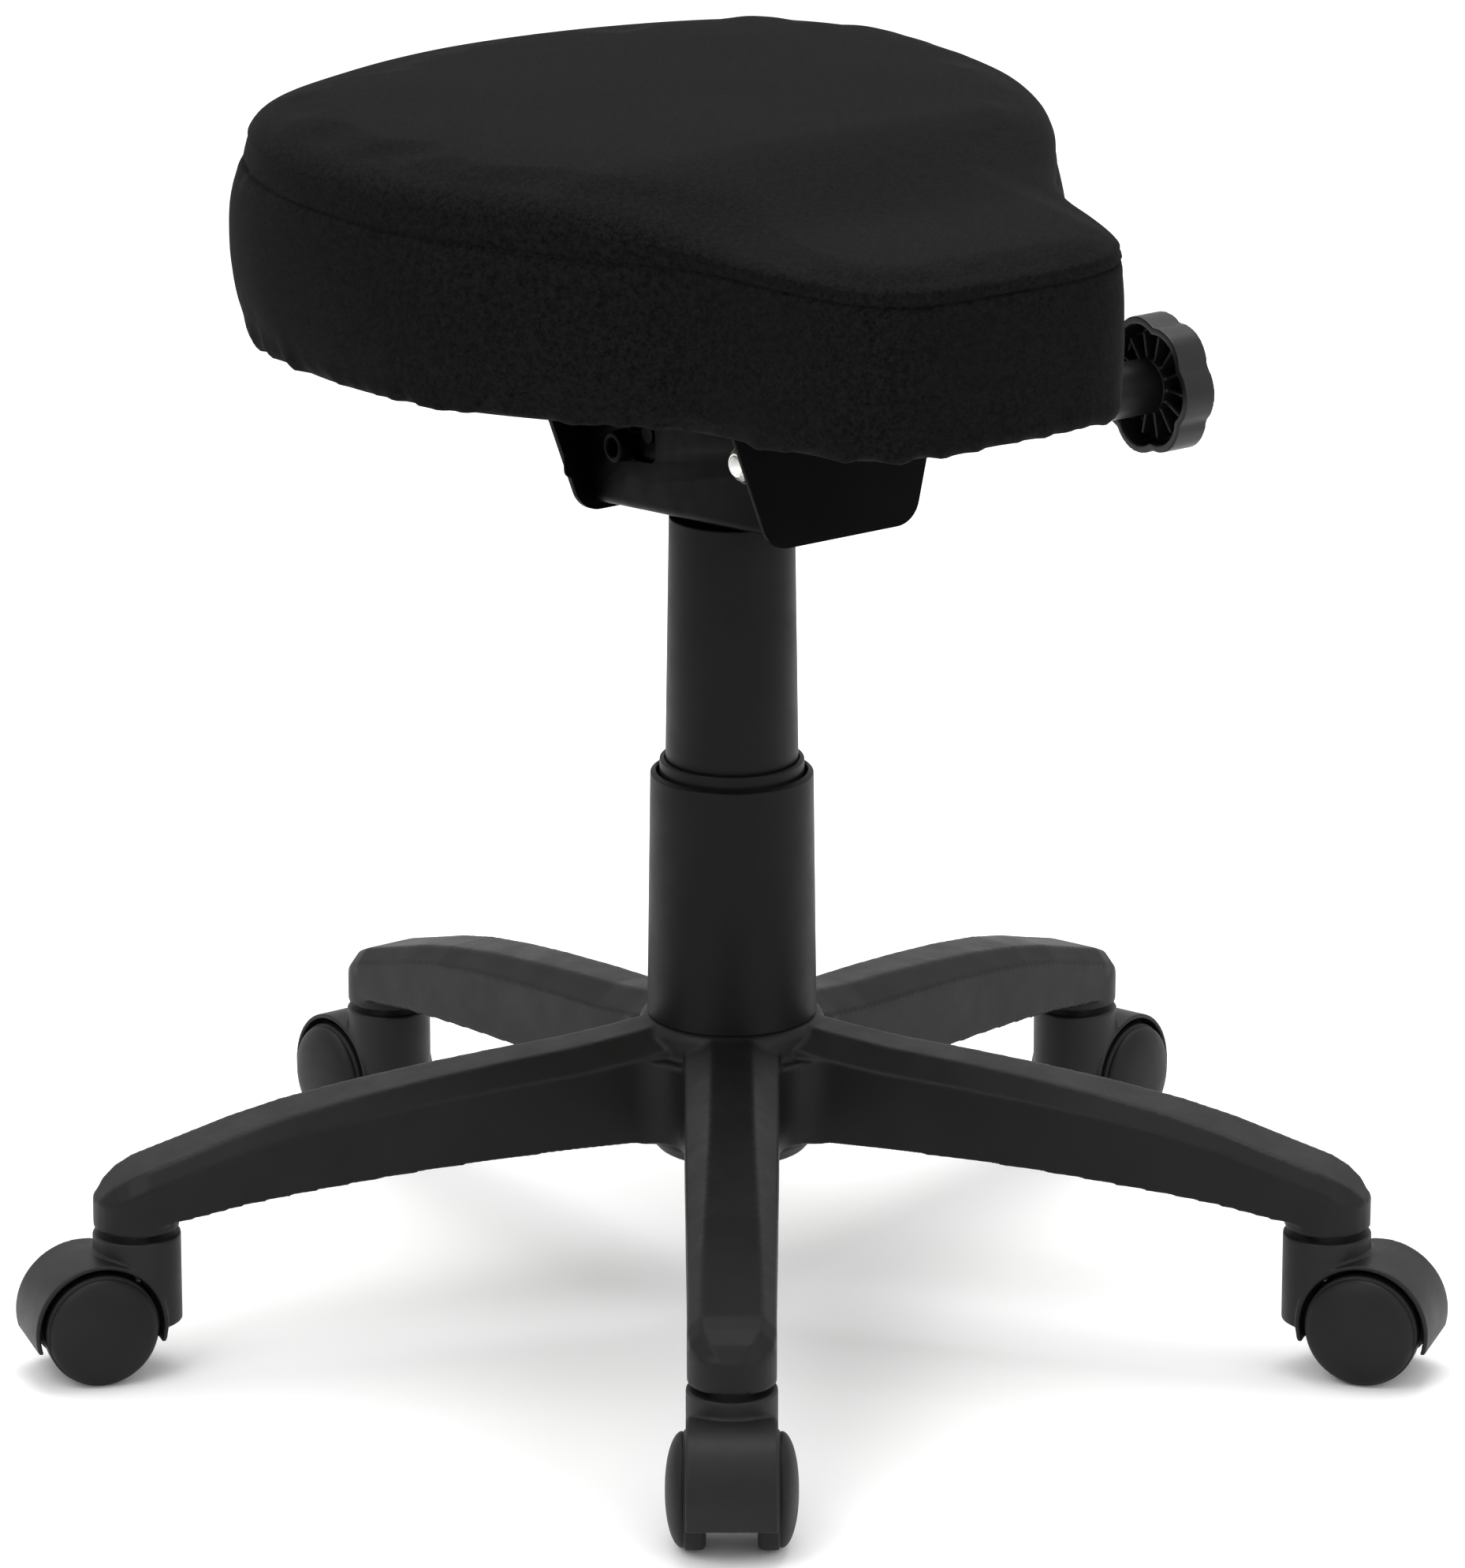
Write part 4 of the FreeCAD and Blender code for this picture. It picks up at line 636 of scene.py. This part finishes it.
def simulate_pad():
    """The stuffed shape: a slightly smaller closed pad is blown up as cloth, held at its turned-in foot."""
    rings = [ring_points(sc, z, k, shrink=1.6) for sc, z, k in dense_sections(9.0)]
    mesh = ring_mesh("pad_start", rings)
    tmp = link(bpy.data.objects.new("pad_start", mesh))
    r = tmp.modifiers.new("r", "REMESH")
    r.mode = "VOXEL"
    r.voxel_size = 0.0052
    apply_modifiers(tmp)
    start = np.array([v.co for v in tmp.data.vertices])
    group = tmp.vertex_groups.new(name="held")
    for i, c in enumerate(start):
        low = (0.4455 - c[2]) / 0.006
        if low > 0:
            group.add([i], min(1.0, low), "REPLACE")
    cloth = tmp.modifiers.new("c", "CLOTH")
    cs = cloth.settings
    cs.quality = 6
    cs.mass = 0.35
    cs.tension_stiffness = 22.0
    cs.compression_stiffness = 22.0
    cs.shear_stiffness = 8.0
    cs.bending_stiffness = 0.6
    cs.use_pressure = True
    cs.uniform_pressure_force = 4.0
    cs.effector_weights.gravity = 0.0
    cs.vertex_group_mass = "held"
    cs.shrink_min = -0.012
    cs.shrink_max = -0.012
    cloth.collision_settings.use_collision = False
    cloth.point_cache.frame_start = 1
    cloth.point_cache.frame_end = 22
    for f in range(1, 21):
        scene.frame_set(f)
    apply_modifiers(tmp)
    scene.frame_set(1)
    end = np.array([v.co for v in tmp.data.vertices])
    move = end - start
    length = np.linalg.norm(move, axis=1, keepdims=True)
    cap = 0.0042
    end = start + move * np.minimum(1.0, cap / np.maximum(length, 1e-9))
    for v, c in zip(tmp.data.vertices, end):
        v.co = c
    bm = bmesh.new()
    bm.from_mesh(tmp.data)
    tree = BVHTree.FromBMesh(bm)
    bm.free()
    bpy.data.objects.remove(tmp)
    return tree


def fbm(x, seed, octaves=3):
    """Smooth periodic noise of the place round the seat, x from 0 to 1."""
    v, amp = 0.0, 1.0
    f = 1.0
    for _ in range(octaves):
        a = 2 * math.pi * x
        v += amp * noise.noise(Vector((math.cos(a) * f, math.sin(a) * f, seed)))
        f *= 2.0
        amp *= 0.5
    return v


sec = dense_sections(2.2)
# finer rings beside the seam
d_seam = (sec[:, 1] - SEAM_Z)
extra = []
for z in (-2.6, -1.8, -1.2, -0.7, -0.35, 0.0, 0.35, 0.7, 1.2, 1.8, 2.6):
    u = np.interp(z, [-4.5, -2.0, 0.0, 3.4, 8.6], [1.008, 1.000, 0.996, 0.998, 0.994])
    extra.append((u, SEAM_Z + z, SLOPE))
low = [tuple(s) for s in sec if s[1] - SEAM_Z < -3.4]
high = [tuple(s) for s in sec if s[1] - SEAM_Z > 3.4]
FINE = low + extra + high
rings = [ring_points(*s) for s in FINE]
P = np.array(rings)                      # rings x around x 3, mm
R, A = P.shape[:2]

# the simulated pad's surface, sampled along each point's outward direction
tree = simulate_pad()
centre_of = np.array([0.0, -3.0])
d_ring = np.gradient(P, axis=0)
d_round = (np.roll(P, -1, 1) - np.roll(P, 1, 1))
nrm = np.cross(d_round, d_ring)
nrm /= np.maximum(np.linalg.norm(nrm, axis=2, keepdims=True), 1e-9)
shift = np.zeros((R, A))
for i in range(R):
    for j in range(A):
        o = Vector(P[i, j] * MM)
        n = Vector(nrm[i, j])
        hit = tree.ray_cast(o + n * 0.014, -n, 0.028)
        if hit[0] is not None:
            shift[i, j] = (hit[0] - o).dot(n) / MM
# average the samples a little, then keep the pad within its space
for _ in range(3):
    shift = (shift * 2 + np.roll(shift, 1, 1) + np.roll(shift, -1, 1)
             + np.vstack([shift[:1], shift[:-1]]) + np.vstack([shift[1:], shift[-1:]])) / 6
shift = np.clip(shift, -2.5, 3.2)
# the top is drawn tighter than the side
calm = np.where(P[:, 0, 2] > 514.0, 0.45, 0.75)[:, None]
shift = shift.mean() + (shift - shift.mean()) * calm
foot = np.clip((P[:, 0, 2] - 442.0) / 8.0, 0, 1)[:, None]
P = P + nrm * (shift * foot)[:, :, None]

around = np.arange(A) / A
# seam: a tight groove with a slight swelling on both sides and fine gathers
zrel = np.array([s[1] - SEAM_Z for s in FINE])
groove = -0.85 * np.exp(-(zrel / 0.7) ** 2) + 0.35 * np.exp(-((np.abs(zrel) - 3.0) / 1.8) ** 2)
gather = np.array([0.16 * math.sin(2 * math.pi * x * 190 + 2.0 * fbm(x, 3.1)) + 0.35 * fbm(x * 1.0, 9.0, 5) for x in around])
near = np.exp(-(zrel / 4.5) ** 2)
# pull lines that run up from the hem
zlow = np.array([s[1] - 441.0 for s in FINE])
side = np.array([1.0 if s[1] < SEAM_Z else 0.0 for s in FINE])
hem_fade = np.exp(-(zlow / 13.0) ** 2) * side
long_fade = np.exp(-(zlow / 30.0) ** 2) * side
pucker = np.array([1.5 * noise.noise(Vector((13.0 * math.cos(2 * math.pi * x), 13.0 * math.sin(2 * math.pi * x), 1.7)))
                   + 0.8 * noise.noise(Vector((27.0 * math.cos(2 * math.pi * x), 27.0 * math.sin(2 * math.pi * x), 5.2))) for x in around])
long_pull = np.array([1.0 * noise.noise(Vector((6.0 * math.cos(2 * math.pi * x), 6.0 * math.sin(2 * math.pi * x), 8.4))) for x in around])
wave = np.array([1.0 * noise.noise(Vector((9.5 * math.cos(2 * math.pi * x), 9.5 * math.sin(2 * math.pi * x), 12.3)))
                 + 0.5 * noise.noise(Vector((21.0 * math.cos(2 * math.pi * x), 21.0 * math.sin(2 * math.pi * x), 14.9))) for x in around])
disp = groove[:, None] + near[:, None] * gather[None, :] + hem_fade[:, None] * pucker[None, :] * 1.5 + long_fade[:, None] * long_pull[None, :] * 1.1
# shallow hollows where the cloth is drawn over the top
for i in range(R):
    top = 1.0 - side[i]
    for j in range(A):
        q = P[i, j]
        disp[i, j] += top * 0.5 * noise.noise(Vector((q[0] * 0.018, q[1] * 0.018, 2.0)))
        disp[i, j] += side[i] * 0.45 * noise.noise(Vector((q[0] * 0.03, q[1] * 0.03, q[2] * 0.025)))
P = P + nrm * disp[:, :, None]
lift = np.exp(-(zlow / 9.0) ** 2) * side
P[:, :, 2] += (lift[:, None] * (1.4 + 2.6 * wave)[None, :]).clip(-0.1, 6.0)

# turned-in foot: under the board's edge, then round the board as a recess
under = []
base_ring = P[0].copy()
for sc, z in ((0.945, 440.95), (0.915, 440.85), (0.885, 440.85), (0.85, 440.85), (0.815, 440.9), (0.805, 441.1), (0.80, 441.5), (0.803, 441.85),
              (0.86, 441.93), (0.928, 441.95), (0.9285, 446.0), (0.9285, 454.15), (0.90, 454.2), (0.6, 454.2), (0.3, 454.2)):
    r = ring_points(sc, z, 0.0)
    if sc > 0.82 and z < 441.4:
        for j, x in enumerate(around):
            r[j, 2] += 0.25 * noise.noise(Vector((30 * math.cos(2 * math.pi * x), 30 * math.sin(2 * math.pi * x), 3.3 + sc * 5))) * (1 if z < 440.95 else 0)
    under.append(r)
seat_rings = list(reversed(under)) + list(P)
mesh = ring_mesh("seat_upholstery", seat_rings)
seat = piece("seat_upholstery", mesh, "seat_cover", ["seat_cover", "seat_foam"])
bm = bmesh.new()
bm.from_mesh(mesh)
bmesh.ops.recalc_face_normals(bm, faces=bm.faces)
bm.to_mesh(mesh)
bm.free()
mesh.update()
for p in mesh.polygons:
    p.use_smooth = True
mark_sharp(mesh, 75)
